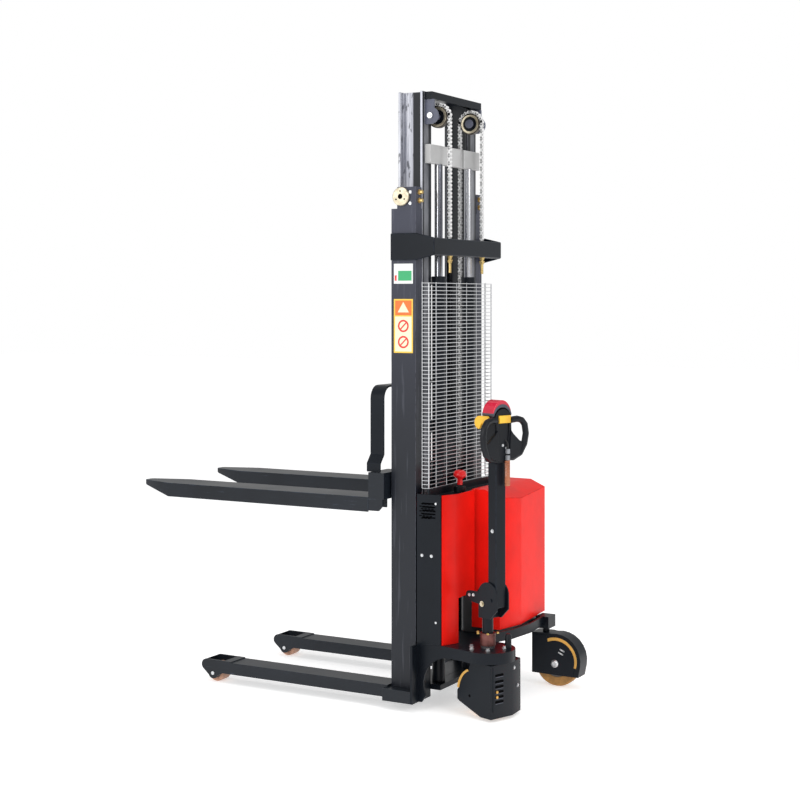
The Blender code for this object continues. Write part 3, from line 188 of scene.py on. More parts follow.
class Paint:
    """A material, built node by node."""

    def __init__(self, name, roughness=0.5, metallic=0.0, **sockets):
        self.material = bpy.data.materials.new(name)
        self.material.use_nodes = True
        self.tree = self.material.node_tree
        self.shader = self.tree.nodes["Principled BSDF"]
        self.shader.inputs["Roughness"].default_value = roughness
        self.shader.inputs["Metallic"].default_value = metallic
        for label, value in sockets.items():
            self.shader.inputs[label.replace("_", " ")].default_value = value

    def fill(self, socket, value):
        if isinstance(value, Value):
            self.tree.links.new(value.socket, socket)
        elif isinstance(value, tuple) and len(value) == 3 and socket.type == "RGBA":
            socket.default_value = (*value, 1.0)
        else:
            socket.default_value = value

    def put(self, kind, settings=None, sockets=(), out=0):
        """One node: its settings first, then its sockets by order or by name."""
        node = self.tree.nodes.new(kind)
        for label, value in (settings or {}).items():
            setattr(node, label, value)
        pairs = sockets.items() if isinstance(sockets, dict) else enumerate(sockets)
        for label, value in pairs:
            self.fill(node.inputs[label], value)
        return Value(self, node.outputs[out])

    def place(self):
        return self.put("ShaderNodeTexCoord", out="Object")

    def axes(self):
        """The three object coordinates, each as a value."""
        node = self.tree.nodes.new("ShaderNodeSeparateXYZ")
        self.tree.links.new(self.place().socket, node.inputs[0])
        return [Value(self, socket) for socket in node.outputs]

    def noise(self, scale, detail=4.0, stretch=(1.0, 1.0, 1.0), rough=0.55):
        spot = self.put("ShaderNodeMapping", {}, {"Vector": self.place(), "Scale": stretch})
        return self.put(
            "ShaderNodeTexNoise", {}, {"Vector": spot, "Scale": scale, "Detail": detail, "Roughness": rough}
        )

    def mix(self, factor, first, second):
        """Two colours mixed."""
        node = self.tree.nodes.new("ShaderNodeMix")
        node.data_type = "RGBA"
        ends = [s for s in node.inputs if s.type == "RGBA"]
        self.fill(node.inputs[0], factor)
        self.fill(ends[0], first)
        self.fill(ends[1], second)
        return Value(self, [s for s in node.outputs if s.type == "RGBA"][0])

    def edge(self):
        """1 on the rounded edges of a piece."""
        return self.put("ShaderNodeAttribute", {"attribute_name": "edge"}, out="Fac")

    def finish(self, colour, roughness=None, metallic=None, height=None, depth=0.001, strength=0.3):
        self.fill(self.shader.inputs["Base Color"], colour)
        if roughness is not None:
            self.fill(self.shader.inputs["Roughness"], roughness)
        if metallic is not None:
            self.fill(self.shader.inputs["Metallic"], metallic)
        if height is not None:
            bump = self.put(
                "ShaderNodeBump", {}, {"Strength": strength, "Distance": depth, "Height": height}
            )
            self.tree.links.new(bump.socket, self.shader.inputs["Normal"])
        return self.material


def shade(colour, factor):
    return tuple(min(1.0, channel * factor) for channel in colour)


# ---------------------------------------------------------------- finishes

BLACK = (0.0062, 0.0085, 0.0125)
RED = (0.80, 0.012, 0.007)


def powder_coat(name, colour, roughness=0.33, rubbed=2.6, grain=0.25, **sockets):
    """Satin paint with orange peel, faint dust and edges rubbed lighter."""
    paint = Paint(name, **sockets)
    cloud = paint.noise(2.3, 5.0)
    fine = paint.noise(38.0, 6.0)
    tone = paint.mix(cloud.above(0.5, 0.22), shade(colour, 0.82), shade(colour, 1.22))
    wear = paint.edge() * fine.above(0.47, 0.09)
    tone = paint.mix(wear * 0.55, tone, shade(colour, rubbed))
    peel = paint.noise(420.0, 2.0) + paint.noise(1500.0, 1.0) * 0.35
    return paint.finish(
        tone,
        roughness=roughness + (cloud - 0.5) * 0.14 + (fine - 0.5) * 0.08,
        height=peel,
        depth=0.0004,
        strength=grain,
    )


def mast_coat(name):
    """Black-blue paint of the outer mast, painted lighter and bluer towards its top in clouds as a painted sheen,
    with rubbed corners.
    """
    paint = Paint(name, Specular_IOR_Level=0.32)
    height = paint.axes()[2]
    cloud = paint.noise(2.1, 5.0, stretch=(1.0, 1.0, 0.5))
    fine = paint.noise(44.0, 6.0)
    # painted sheen: the face is painted lighter and bluer towards the top, broken up by clouds
    top_sheen = height.above(1.55, 0.65) * (0.55 + cloud * 0.9).maths("MINIMUM", 1.0)
    tone = paint.mix(top_sheen, (0.0098, 0.0120, 0.0180), (0.0420, 0.0455, 0.0680))
    streak = paint.noise(30.0, 4.0, stretch=(2.2, 2.2, 0.12)).above(0.62, 0.05)
    tone = paint.mix(streak * 0.16, tone, (0.16, 0.17, 0.21))
    wear = paint.edge() * fine.above(0.44, 0.1)
    tone = paint.mix(wear * 0.6, tone, (0.15, 0.16, 0.20))
    return paint.finish(
        tone,
        roughness=0.36 + (cloud - 0.5) * 0.16,
        height=paint.noise(420.0, 2.0),
        depth=0.0004,
        strength=0.25,
    )


def scuffed_coat(name, colour):
    """Black paint of the forks and legs, with fine scratches along X down to grey."""
    paint = Paint(name, Specular_IOR_Level=0.30)
    cloud = paint.noise(2.6, 5.0)
    streak = paint.noise(30.0, 5.0, stretch=(0.35, 3.0, 5.0), rough=0.7)
    scratch = streak.above(0.655, 0.03)
    tone = paint.mix(cloud.above(0.5, 0.2), shade(colour, 0.85), shade(colour, 1.5))
    tone = paint.mix(scratch * 0.45, tone, shade(colour, 8.0))
    tone = paint.mix(paint.edge() * paint.noise(24.0, 4.0).above(0.48, 0.08) * 0.7, tone, shade(colour, 5.0))
    return paint.finish(
        tone,
        roughness=0.36 + (cloud - 0.5) * 0.22 + scratch * 0.12,
        height=paint.noise(380.0, 2.0) - scratch * 0.8,
        depth=0.0004,
        strength=0.25,
    )


def running_steel(name):
    """An inner beam: black paint, with the roller's track on its outer web, a rubbed stripe behind, and a bright
    line on the rear flange's tip that is partly wear and partly a painted highlight.
    """
    paint = Paint(name, Specular_IOR_Level=0.35)
    along, across, _ = paint.axes()
    along = along - TRUCK.translation.x
    off_centre = (across - TRUCK.translation.y).maths("ABSOLUTE")
    streak = paint.noise(24.0, 6.0, stretch=(3.4, 3.4, 0.10), rough=0.68)
    patch = paint.noise(11.0, 5.0, stretch=(1.4, 1.4, 0.5))
    track = off_centre.above(0.2035, 0.002) * along.above(-0.919, 0.003)
    # the rear flange's outboard tip painted bright: a painted highlight where the edge catches the light, partly
    # wear
    tip_highlight_and_wear = off_centre.above(0.2415, 0.0008) * along.below(-0.960, 0.002)
    stripe = along.below(-0.9785, 0.001) * off_centre.above(0.190, 0.004) * off_centre.below(0.229, 0.004)
    chips = paint.noise(64.0, 5.0, stretch=(1.0, 1.0, 0.35)).above(0.60, 0.03)
    steel = paint.mix(streak.above(0.5, 0.16), (0.25, 0.26, 0.31), (0.66, 0.67, 0.72))
    steel = paint.mix(chips * 0.7, steel, (0.02, 0.022, 0.03))
    rubbed = paint.mix(patch.above(0.5, 0.2), (0.10, 0.105, 0.12), (0.26, 0.265, 0.29))
    tone = paint.mix(stripe * (0.5 + streak * 0.6).maths("MINIMUM", 1.0), BLACK, rubbed)
    tone = paint.mix(track, tone, steel)
    tone = paint.mix(tip_highlight_and_wear * 0.9, tone, (0.62, 0.63, 0.70))
    edge = paint.edge() * paint.noise(45.0, 4.0, stretch=(1.0, 1.0, 0.2)).above(0.42, 0.1)
    tone = paint.mix(edge * 0.5, tone, (0.34, 0.35, 0.40))
    return paint.finish(
        tone, roughness=0.42 + (streak - 0.5) * 0.2, metallic=track * 0.25, height=streak, strength=0.12
    )


def polished_rod(name):
    """Hard chrome under a cloudy oil film, with dark bands painted down it as painted reflections."""
    paint = Paint(name, metallic=1.0)
    draw = paint.noise(60.0, 4.0, stretch=(2.5, 2.5, 0.04))
    # dark bands stretched up the rod: painted reflections
    dark_reflection_bands = paint.noise(44.0, 3.0, stretch=(1.0, 1.0, 0.015))
    film = paint.noise(6.0, 4.0, stretch=(1.0, 1.0, 0.25))
    tone = paint.mix(film, (0.50, 0.51, 0.55), (0.80, 0.81, 0.84))
    tone = paint.mix(dark_reflection_bands.below(0.47, 0.03) * 0.85, tone, (0.055, 0.06, 0.085))
    return paint.finish(tone, roughness=0.10 + draw * 0.08 + film * 0.06, height=draw, strength=0.05)


def plated(name, light, dark, roughness=0.30, metallic=0.85):
    """Zinc, brass or copper plating with a cloudy tint and turning marks."""
    paint = Paint(name, metallic=metallic)
    cloud = paint.noise(34.0, 5.0)
    fine = paint.noise(260.0, 4.0)
    tone = paint.mix(cloud.above(0.5, 0.25), dark, light)
    tone = paint.mix(paint.edge() * 0.4, tone, shade(light, 1.25))
    return paint.finish(
        tone, roughness=roughness + (fine - 0.5) * 0.2, height=fine, depth=0.0003, strength=0.2
    )


def moulded(name, colour, roughness=0.42, grain=520.0, strength=0.22, **sockets):
    """Moulded plastic or rubber: fine grain, and edges painted lighter as a faint painted sheen."""
    paint = Paint(name, **sockets)
    cloud = paint.noise(14.0, 4.0)
    tone = paint.mix(cloud.above(0.5, 0.25), shade(colour, 0.84), shade(colour, 1.18))
    tone = paint.mix(paint.edge() * 0.25, tone, shade(colour, 1.6))
    return paint.finish(
        tone,
        roughness=roughness + (cloud - 0.5) * 0.16,
        height=paint.noise(grain, 3.0),
        depth=0.0003,
        strength=strength,
    )


def tread(name, hub, tyre, face, axle_at, radius):
    """A wheel about an axle: hub inside a share of its radius, tyre outside, dusty on the tread."""
    paint = Paint(name, Specular_IOR_Level=0.4)
    x, _, z = paint.axes()
    x, z = x - axle_at[0], z - axle_at[2]
    flat = (x * x + z * z).maths("SQRT")
    grime = paint.noise(46.0, 5.0)
    rubber = paint.mix(grime.above(0.5, 0.2), shade(tyre, 0.78), shade(tyre, 1.15))
    worn = flat.above(radius * 0.985, radius * 0.01)
    rubber = paint.mix(worn * 0.35, rubber, shade(tyre, 0.55))
    tone = paint.mix(flat.below(radius * face, 0.0012), rubber, hub)
    return paint.finish(tone, roughness=0.42 + (grime - 0.5) * 0.25, height=grime, strength=0.15)


def galvanised(name):
    paint = Paint(name, metallic=0.75)
    spangle = paint.noise(120.0, 3.0)
    tone = paint.mix(spangle, (0.48, 0.49, 0.51), (0.82, 0.83, 0.85))
    return paint.finish(tone, roughness=0.34 + (spangle - 0.5) * 0.2, height=spangle, strength=0.1)


def label_film(name, base):
    """Printed film: even colour under a thin gloss, with faint scuffs."""
    paint = Paint(name, Coat_Weight=0.3)
    scuff = paint.noise(130.0, 5.0)
    tone = paint.mix(scuff.above(0.6, 0.05) * 0.2, base, shade(base, 0.8))
    return paint.finish(tone, roughness=0.4 + scuff * 0.12, height=scuff, depth=0.0002, strength=0.1)


FINISH = {}


def make_finishes():
    FINISH.update(
        black=powder_coat("black satin coat", BLACK, Specular_IOR_Level=0.16),
        scuffed=scuffed_coat("scuffed fork coat", BLACK),
        mast=mast_coat("mast coat"),
        red=powder_coat(
            "red gloss coat", RED, roughness=0.34, rubbed=0.5, grain=0.08, Coat_Weight=0.02,
            Coat_Roughness=0.06, Specular_IOR_Level=0.05,
        ),
        beam=running_steel("worn running steel"),
        chrome=polished_rod("hard chrome rod"),
        light_grey=powder_coat(
            "light grey coat", (0.43, 0.43, 0.43), roughness=0.5, rubbed=1.3, Specular_IOR_Level=0.3
        ),
        slate=powder_coat("slate bracket coat", (0.100, 0.108, 0.150), rubbed=2.0, Specular_IOR_Level=0.3),
        zinc=plated("cream zinc", (0.74, 0.67, 0.50), (0.46, 0.40, 0.29)),
        gold=plated("gold zinc", (0.80, 0.60, 0.24), (0.46, 0.31, 0.12), metallic=0.9),
        brass=plated("brass fitting", (0.72, 0.50, 0.16), (0.40, 0.25, 0.08), roughness=0.26),
        silver=plated("silver zinc", (0.78, 0.79, 0.80), (0.48, 0.49, 0.51)),
        copper=plated("dull copper", (0.21, 0.085, 0.075), (0.10, 0.040, 0.036), roughness=0.42),
        chain=plated(
            "oiled chain steel", (0.36, 0.33, 0.30), (0.10, 0.09, 0.08), roughness=0.38, metallic=0.6
        ),
        # dark oily steel for chain rollers and pulley wheels, partly painted shade in the gaps between chain
        # plates and on the pulley's rim
        chain_roller=plated("dark chain rollers and painted shade", (0.10, 0.085, 0.07), (0.02, 0.018, 0.016), roughness=0.4),
        wire=galvanised("galvanised wire"),
        black_plastic=moulded(
            "black grained plastic", (0.0065, 0.0080, 0.0110), roughness=0.40, Specular_IOR_Level=0.22
        ),
        slate_plastic=moulded("slate plastic panel", (0.055, 0.062, 0.085), roughness=0.4),
        pale_plastic=moulded("pale grey plastic panel", (0.36, 0.37, 0.42), roughness=0.4),
        amber=moulded("amber polyurethane", (0.66, 0.36, 0.07), roughness=0.35),
        grey_plastic=moulded("grey plastic", (0.26, 0.27, 0.29), roughness=0.5),
        crimson=moulded(
            "crimson plastic", (0.55, 0.006, 0.035), roughness=0.22, strength=0.06, Coat_Weight=0.4
        ),
        signal_red=moulded("signal red plastic", (0.75, 0.010, 0.012), roughness=0.25, strength=0.06),
        yellow=moulded("yellow plastic", (0.84, 0.47, 0.035), roughness=0.36, strength=0.12),
        orange=moulded("orange cable sheath", (0.44, 0.155, 0.075), roughness=0.4, grain=300.0),
        rubber=moulded("black hose rubber", (0.011, 0.011, 0.012), roughness=0.55, grain=300.0, strength=0.4),
        cast=plated("cast housing", (0.16, 0.16, 0.17), (0.07, 0.07, 0.075), roughness=0.55, metallic=0.6),
        case=moulded("battery case plastic", (0.03, 0.03, 0.034), roughness=0.5),
        # near-black painted shade, laid where slots, holes and hollows are
        recess=moulded("dark recess", (0.0015, 0.0015, 0.002), roughness=0.8, Specular_IOR_Level=0.04),
        white_film=label_film("white film", (0.78, 0.79, 0.78)),
        cream_film=label_film("cream film", (0.83, 0.77, 0.55)),
        yellow_film=label_film("yellow film", (0.85, 0.55, 0.06)),
        orange_film=label_film("orange film", (0.86, 0.16, 0.02)),
        green_film=label_film("green film", (0.03, 0.38, 0.14)),
        red_film=label_film("red film", (0.70, 0.03, 0.02)),
    )
    for side in SIDES:
        FINISH[f"load_{side}"] = tread(
            f"tan roller {side}",
            (0.20, 0.18, 0.17),
            (0.50, 0.27, 0.18),
            0.55,
            middle_of(f"load_wheel_{side}"),
            0.040,
        )
    tyres = {"drive": ((0.62, 0.30, 0.045), 0.098), "caster": ((0.40, 0.20, 0.05), 0.100)}
    for name, (tyre, radius) in tyres.items():
        centre = middle_of(f"{name}_wheel")
        FINISH[name] = tread(f"amber {name} tyre", (0.25, 0.24, 0.23), tyre, 0.60, centre, radius)


# ---------------------------------------------------------------- mesh helpers


def as_object(name, data, finish=None):
    piece = bpy.data.objects.new(name, data)
    bpy.context.scene.collection.objects.link(piece)
    if finish:
        data.materials.clear()
        data.materials.append(FINISH[finish])
    return piece


def evaluated_mesh(piece):
    graph = bpy.context.evaluated_depsgraph_get()
    graph.update()
    return bpy.data.meshes.new_from_object(piece.evaluated_get(graph))


def rounded(piece, width, segments=2, angle=30.0):
    """Rounds every hard edge, marks the new faces as edge and keeps the flats flat."""
    bevel = piece.modifiers.new("round", "BEVEL")
    bevel.width = width
    bevel.segments = segments
    bevel.limit_method = "ANGLE"
    bevel.angle_limit = math.radians(angle)
    bevel.material = 1
    bevel.use_clamp_overlap = True
    finish = piece.data.materials[0]
    piece.data.materials.append(finish)
    for face in piece.data.polygons:
        face.use_smooth = True
    flats = piece.modifiers.new("flats", "WEIGHTED_NORMAL")
    flats.weight = 80
    flats.keep_sharp = True
    data = evaluated_mesh(piece)
    marks = data.attributes.new("edge", "FLOAT", "FACE")
    marks.data.foreach_set("value", [float(face.material_index == 1) for face in data.polygons])
    for face in data.polygons:
        face.material_index = 0
    name = piece.name
    bpy.data.objects.remove(piece)
    data.materials.clear()
    data.materials.append(finish)
    return as_object(name, data)


def node_copy(node):
    """A clean copy of a CAD node's mesh: doubles merged, flat faces whole."""
    data = frame["nodes"][node].data.copy()
    shape = bmesh.new()
    shape.from_mesh(data)
    bmesh.ops.remove_doubles(shape, verts=shape.verts, dist=1e-5)
    bmesh.ops.dissolve_limit(
        shape, angle_limit=math.radians(0.6), verts=shape.verts, edges=shape.edges
    )
    shape.to_mesh(data)
    shape.free()
    for attribute in list(data.attributes):
        if attribute.name.startswith("sharp"):
            data.attributes.remove(attribute)
    data.name = f"{node}_shown"
    return data


def stand_in(node, finish, width=0.0015, segments=2, angle=30.0):
    """Shows a CAD node with rounded edges in its finish."""
    piece = as_object(f"{node}_shown", node_copy(node), finish)
    piece = rounded(piece, width, segments, angle)
    return keep(piece, BODY_OF[node], node)


def keep(piece, body, *nodes):
    """Hangs a finished piece on its body, and lets it stand for CAD nodes."""
    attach(piece, body)
    if nodes:
        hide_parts(*nodes)
    return piece


def from_shape(name, shape, finish, matrix=TRUCK, smooth=None):
    """Closes a bmesh into a piece, placed by a matrix."""
    bmesh.ops.remove_doubles(shape, verts=shape.verts, dist=1e-6)
    bmesh.ops.recalc_face_normals(shape, faces=shape.faces)
    data = bpy.data.meshes.new(name)
    shape.to_mesh(data)
    shape.free()
    data.transform(matrix)
    if smooth:
        data.shade_smooth()
        data.set_sharp_from_angle(angle=math.radians(smooth))
    return as_object(name, data, finish)


def add_box(shape, x, y, z):
    spans = [sorted(span) for span in (x, y, z)]
    size = [high - low for low, high in spans]
    centre = Vector([(high + low) / 2 for low, high in spans])
    matrix = Matrix.Translation(centre) @ Matrix.Diagonal((*size, 1.0))
    bmesh.ops.create_cube(shape, size=1.0, matrix=matrix)


def add_prism(shape, outline, axis, span):
    """An outline in the two other axes, in XYZ order, given thickness."""
    low, high = sorted(span)
    order = {"X": (2, 0, 1), "Y": (0, 2, 1), "Z": (0, 1, 2)}[axis]
    points = [(a, b, low) for a, b in outline]
    base = [shape.verts.new([p[i] for i in order]) for p in points]
    face = shape.faces.new(base)
    grown = bmesh.ops.extrude_face_region(shape, geom=[face])
    lift = Vector([(0.0, 0.0, high - low)[i] for i in order])
    moved = [v for v in grown["geom"] if isinstance(v, bmesh.types.BMVert)]
    bmesh.ops.translate(shape, vec=lift, verts=moved)


ALONG = {
    "X": Matrix.Rotation(math.pi / 2, 4, "Y"),
    "Y": Matrix.Rotation(-math.pi / 2, 4, "X"),
    "Z": Matrix.Identity(4),
}


def add_turned(shape, profile, axis, centre, steps=32):
    """A body turned about an axis through a centre, from (radius, height) points."""
    matrix = Matrix.Translation(centre) @ ALONG[axis]
    rings = []
    for radius, height in profile:
        if radius < 1e-6:
            rings.append([shape.verts.new(matrix @ Vector((0.0, 0.0, height)))])
            continue
        turns = [2 * math.pi * i / steps for i in range(steps)]
        ring = [
            shape.verts.new(matrix @ Vector((radius * math.cos(a), radius * math.sin(a), height)))
            for a in turns
        ]
        rings.append(ring)
    for low, high in zip(rings, rings[1:]):
        for i in range(steps):
            j = (i + 1) % steps
            corners = [low[i % len(low)], low[j % len(low)], high[j % len(high)], high[i % len(high)]]
            unique = list(dict.fromkeys(corners))
            if len(unique) > 2:
                shape.faces.new(unique)


def block(name, finish, x, y, z, width=0.001, matrix=TRUCK):
    shape = bmesh.new()
    add_box(shape, x, y, z)
    return rounded(from_shape(name, shape, finish, matrix), width)


def slab(name, finish, outline, axis, span, width=0.001, matrix=TRUCK, angle=30.0):
    shape = bmesh.new()
    add_prism(shape, outline, axis, span)
    return rounded(from_shape(name, shape, finish, matrix), width, angle=angle)


def round_body(name, finish, profile, axis, centre, matrix=TRUCK, steps=32, smooth=35.0):
    shape = bmesh.new()
    add_turned(shape, profile, axis, centre, steps)
    return from_shape(name, shape, finish, matrix, smooth)


def hose(name, finish, points, radius, matrix=TRUCK, sides=3, smooth_path=True):
    """A tube along a path, closed at its ends."""
    curve = bpy.data.curves.new(name, "CURVE")
    curve.dimensions = "3D"
    curve.bevel_depth = radius
    curve.bevel_resolution = sides
    curve.use_fill_caps = True
    if smooth_path:
        line = curve.splines.new("NURBS")
        line.order_u = 3
    else:
        line = curve.splines.new("POLY")
    line.points.add(len(points) - 1)
    for point, place in zip(line.points, points):
        point.co = (*place, 1.0)
    if smooth_path:
        line.use_endpoint_u = True
        line.resolution_u = 6
    source = as_object(name, curve)
    data = evaluated_mesh(source)
    bpy.data.objects.remove(source)
    shape = bmesh.new()
    shape.from_mesh(data)
    return from_shape(name, shape, finish, matrix, 40.0)


def arc(centre, radius, start, end, steps):
    """Points along an arc, with angles in degrees, both ends included."""
    points = []
    for i in range(steps + 1):
        angle = math.radians(start + (end - start) * i / steps)
        points.append((centre[0] + radius * math.cos(angle), centre[1] + radius * math.sin(angle)))
    return points


def merged(name, pieces):
    """Several pieces of one body made one piece, their finishes kept."""
    shape = bmesh.new()
    finishes = []
    for piece in pieces:
        data = piece.data
        material = data.materials[0]
        if material not in finishes:
            finishes.append(material)
        for face in data.polygons:
            face.material_index = 0
        start = len(shape.faces)
        shape.from_mesh(data)
        shape.faces.ensure_lookup_table()
        for face in shape.faces[start:]:
            face.material_index = finishes.index(material)
    data = bpy.data.meshes.new(name)
    shape.to_mesh(data)
    shape.free()
    for piece in pieces:
        bpy.data.objects.remove(piece)
    for material in finishes:
        data.materials.append(material)
    return as_object(name, data)


# ---------------------------------------------------------------- Geometry Nodes


class Growth:
    """A Geometry Nodes tree with named inputs."""

    def __init__(self, name, **sizes):
        self.group = bpy.data.node_groups.new(name, "GeometryNodeTree")
        face = self.group.interface
        face.new_socket("Geometry", in_out="INPUT", socket_type="NodeSocketGeometry")
        for label, value in sizes.items():
            kind = "NodeSocketInt" if isinstance(value, int) else "NodeSocketFloat"
            face.new_socket(label, in_out="INPUT", socket_type=kind).default_value = value
        face.new_socket("Finish", in_out="INPUT", socket_type="NodeSocketMaterial")
        face.new_socket("Geometry", in_out="OUTPUT", socket_type="NodeSocketGeometry")
        self.given = self.group.nodes.new("NodeGroupInput")
        self.result = self.group.nodes.new("NodeGroupOutput")

    def size(self, label):
        return self.given.outputs[label]

    def put(self, kind, settings=None, sockets=(), out=0):
        node = self.group.nodes.new(kind)
        for label, value in (settings or {}).items():
            setattr(node, label, value)
        pairs = sockets.items() if isinstance(sockets, dict) else enumerate(sockets)
        for label, value in pairs:
            if isinstance(value, bpy.types.NodeSocket):
                self.group.links.new(value, node.inputs[label])
            else:
                node.inputs[label].default_value = value
        return node.outputs[out]

    def join(self, *parts):
        node = self.group.nodes.new("GeometryNodeJoinGeometry")
        for part in parts:
            self.group.links.new(part, node.inputs[0])
        return node.outputs[0]

    def maths(self, operation, *values):
        return self.put("ShaderNodeMath", {"operation": operation}, values)

    def vector(self, x=0.0, y=0.0, z=0.0):
        return self.put("ShaderNodeCombineXYZ", {}, [x, y, z])

    def moved(self, part, **way):
        return self.put("GeometryNodeTransform", {}, {"Geometry": part, "Translation": self.vector(**way)})

    def drum(self, sides, radius, depth):
        """A short cylinder about Z."""
        return self.put("GeometryNodeMeshCylinder", {}, {"Vertices": sides, "Radius": radius, "Depth": depth})

    def attribute(self, name):
        return self.put("GeometryNodeInputNamedAttribute", {"data_type": "FLOAT_VECTOR"}, {"Name": name})

    def on_points(self, points, part, **sockets):
        return self.put("GeometryNodeInstanceOnPoints", {}, {"Points": points, "Instance": part, **sockets})

    def end(self, geometry):
        real = self.put("GeometryNodeRealizeInstances", {}, [geometry])
        real = self.put(
            "GeometryNodeSetMaterial", {}, {"Geometry": real, "Material": self.size("Finish")}
        )
        self.group.links.new(real, self.result.inputs[0])
        return self


def grown(name, growth, base, finish, matrix=TRUCK, smooth=None, **sizes):
    """Grows a tree on a base mesh and keeps the result as a plain mesh."""
    source = as_object(name, base)
    step = source.modifiers.new("grow", "NODES")
    step.node_group = growth.group
    inputs = [item for item in growth.group.interface.items_tree if item.in_out == "INPUT"]
    named = {item.name: item.identifier for item in inputs}
    step[named["Finish"]] = FINISH[finish]
    for label, value in sizes.items():
        step[named[label]] = value
    source.update_tag()
    data = evaluated_mesh(source)
    bpy.data.objects.remove(source)
    data.transform(matrix)
    if smooth:
        data.shade_smooth()
        data.set_sharp_from_angle(angle=math.radians(smooth))
    data.name = name
    return as_object(name, data)


def stud_growth():
    """Heads with washers on points, each turned to its facing."""
    growth = Growth("studs", Radius=0.006, Height=0.005, Washer=1.5, Sides=6)
    head = growth.drum(growth.size("Sides"), growth.size("Radius"), growth.size("Height"))
    head = growth.moved(head, z=growth.maths("MULTIPLY", growth.size("Height"), 0.5))
    wide = growth.maths("MULTIPLY", growth.size("Radius"), growth.size("Washer"))
    thin = growth.maths("MULTIPLY", growth.size("Height"), 0.45)
    washer = growth.drum(20, wide, thin)
    facing = growth.attribute("facing")
    turn = growth.put("FunctionNodeAlignRotationToVector", {"axis": "Z"}, {"Vector": facing})
    return growth.end(growth.on_points(growth.size("Geometry"), growth.join(head, washer), Rotation=turn))


def slot_growth():
    """Round-ended dashes on points, each turned to its facing and laid along its own direction."""
    growth = Growth("dashes", Length=0.02, Width=0.004, Depth=0.0012)
    half = growth.maths("MULTIPLY", growth.size("Width"), 0.5)
    end = growth.drum(12, half, growth.size("Depth"))
    reach = growth.maths(
        "MULTIPLY", growth.maths("SUBTRACT", growth.size("Length"), growth.size("Width")), 0.5
    )
    back = growth.maths("MULTIPLY", reach, -1.0)
    first, second = growth.moved(end, x=reach), growth.moved(end, x=back)
    size = growth.vector(growth.maths("MULTIPLY", reach, 2.0), growth.size("Width"), growth.size("Depth"))
    bar = growth.put("GeometryNodeMeshCube", {}, {"Size": size})
    facing = growth.attribute("facing")
    turn = growth.put("FunctionNodeAlignRotationToVector", {"axis": "Z"}, {"Vector": facing})
    turn = growth.put(
        "FunctionNodeAlignRotationToVector",
        {"axis": "X", "pivot_axis": "Z"},
        {"Rotation": turn, "Vector": growth.attribute("along")},
    )
    dash = growth.join(first, second, bar)
    return growth.end(growth.on_points(growth.size("Geometry"), dash, Rotation=turn))


def wire_growth():
    """Rows of one bent wire stacked up Z, and uprights along it."""
    growth = Growth("guard wires", Height=0.83, Pitch=0.0153, Upright=0.08, Wire=0.0015)
    path = growth.put("GeometryNodeMeshToCurve", {}, [growth.size("Geometry")])
    ring = growth.put(
        "GeometryNodeCurvePrimitiveCircle",
        {"mode": "RADIUS"},
        {"Resolution": 6, "Radius": growth.size("Wire")},
    )
    row = growth.put(
        "GeometryNodeCurveToMesh", {}, {"Curve": path, "Profile Curve": ring, "Fill Caps": True}
    )
    count = growth.maths("FLOOR", growth.maths("DIVIDE", growth.size("Height"), growth.size("Pitch")))
    stack = growth.put(
        "GeometryNodeMeshLine",
        {"mode": "OFFSET"},
        {"Count": growth.maths("ADD", count, 1.0), "Offset": growth.vector(z=growth.size("Pitch"))},
    )
    rows = growth.on_points(stack, row)
    tall = growth.put(
        "GeometryNodeCurvePrimitiveLine",
        {"mode": "POINTS"},
        {"Start": (0.0, 0.0, 0.0), "End": growth.vector(z=growth.size("Height"))},
    )
    upright = growth.put(
        "GeometryNodeCurveToMesh", {}, {"Curve": tall, "Profile Curve": ring, "Fill Caps": True}
    )
    feet = growth.put(
        "GeometryNodeCurveToPoints", {"mode": "LENGTH"}, {"Curve": path, "Length": growth.size("Upright")}
    )
    return growth.end(growth.join(rows, growth.on_points(feet, upright)))


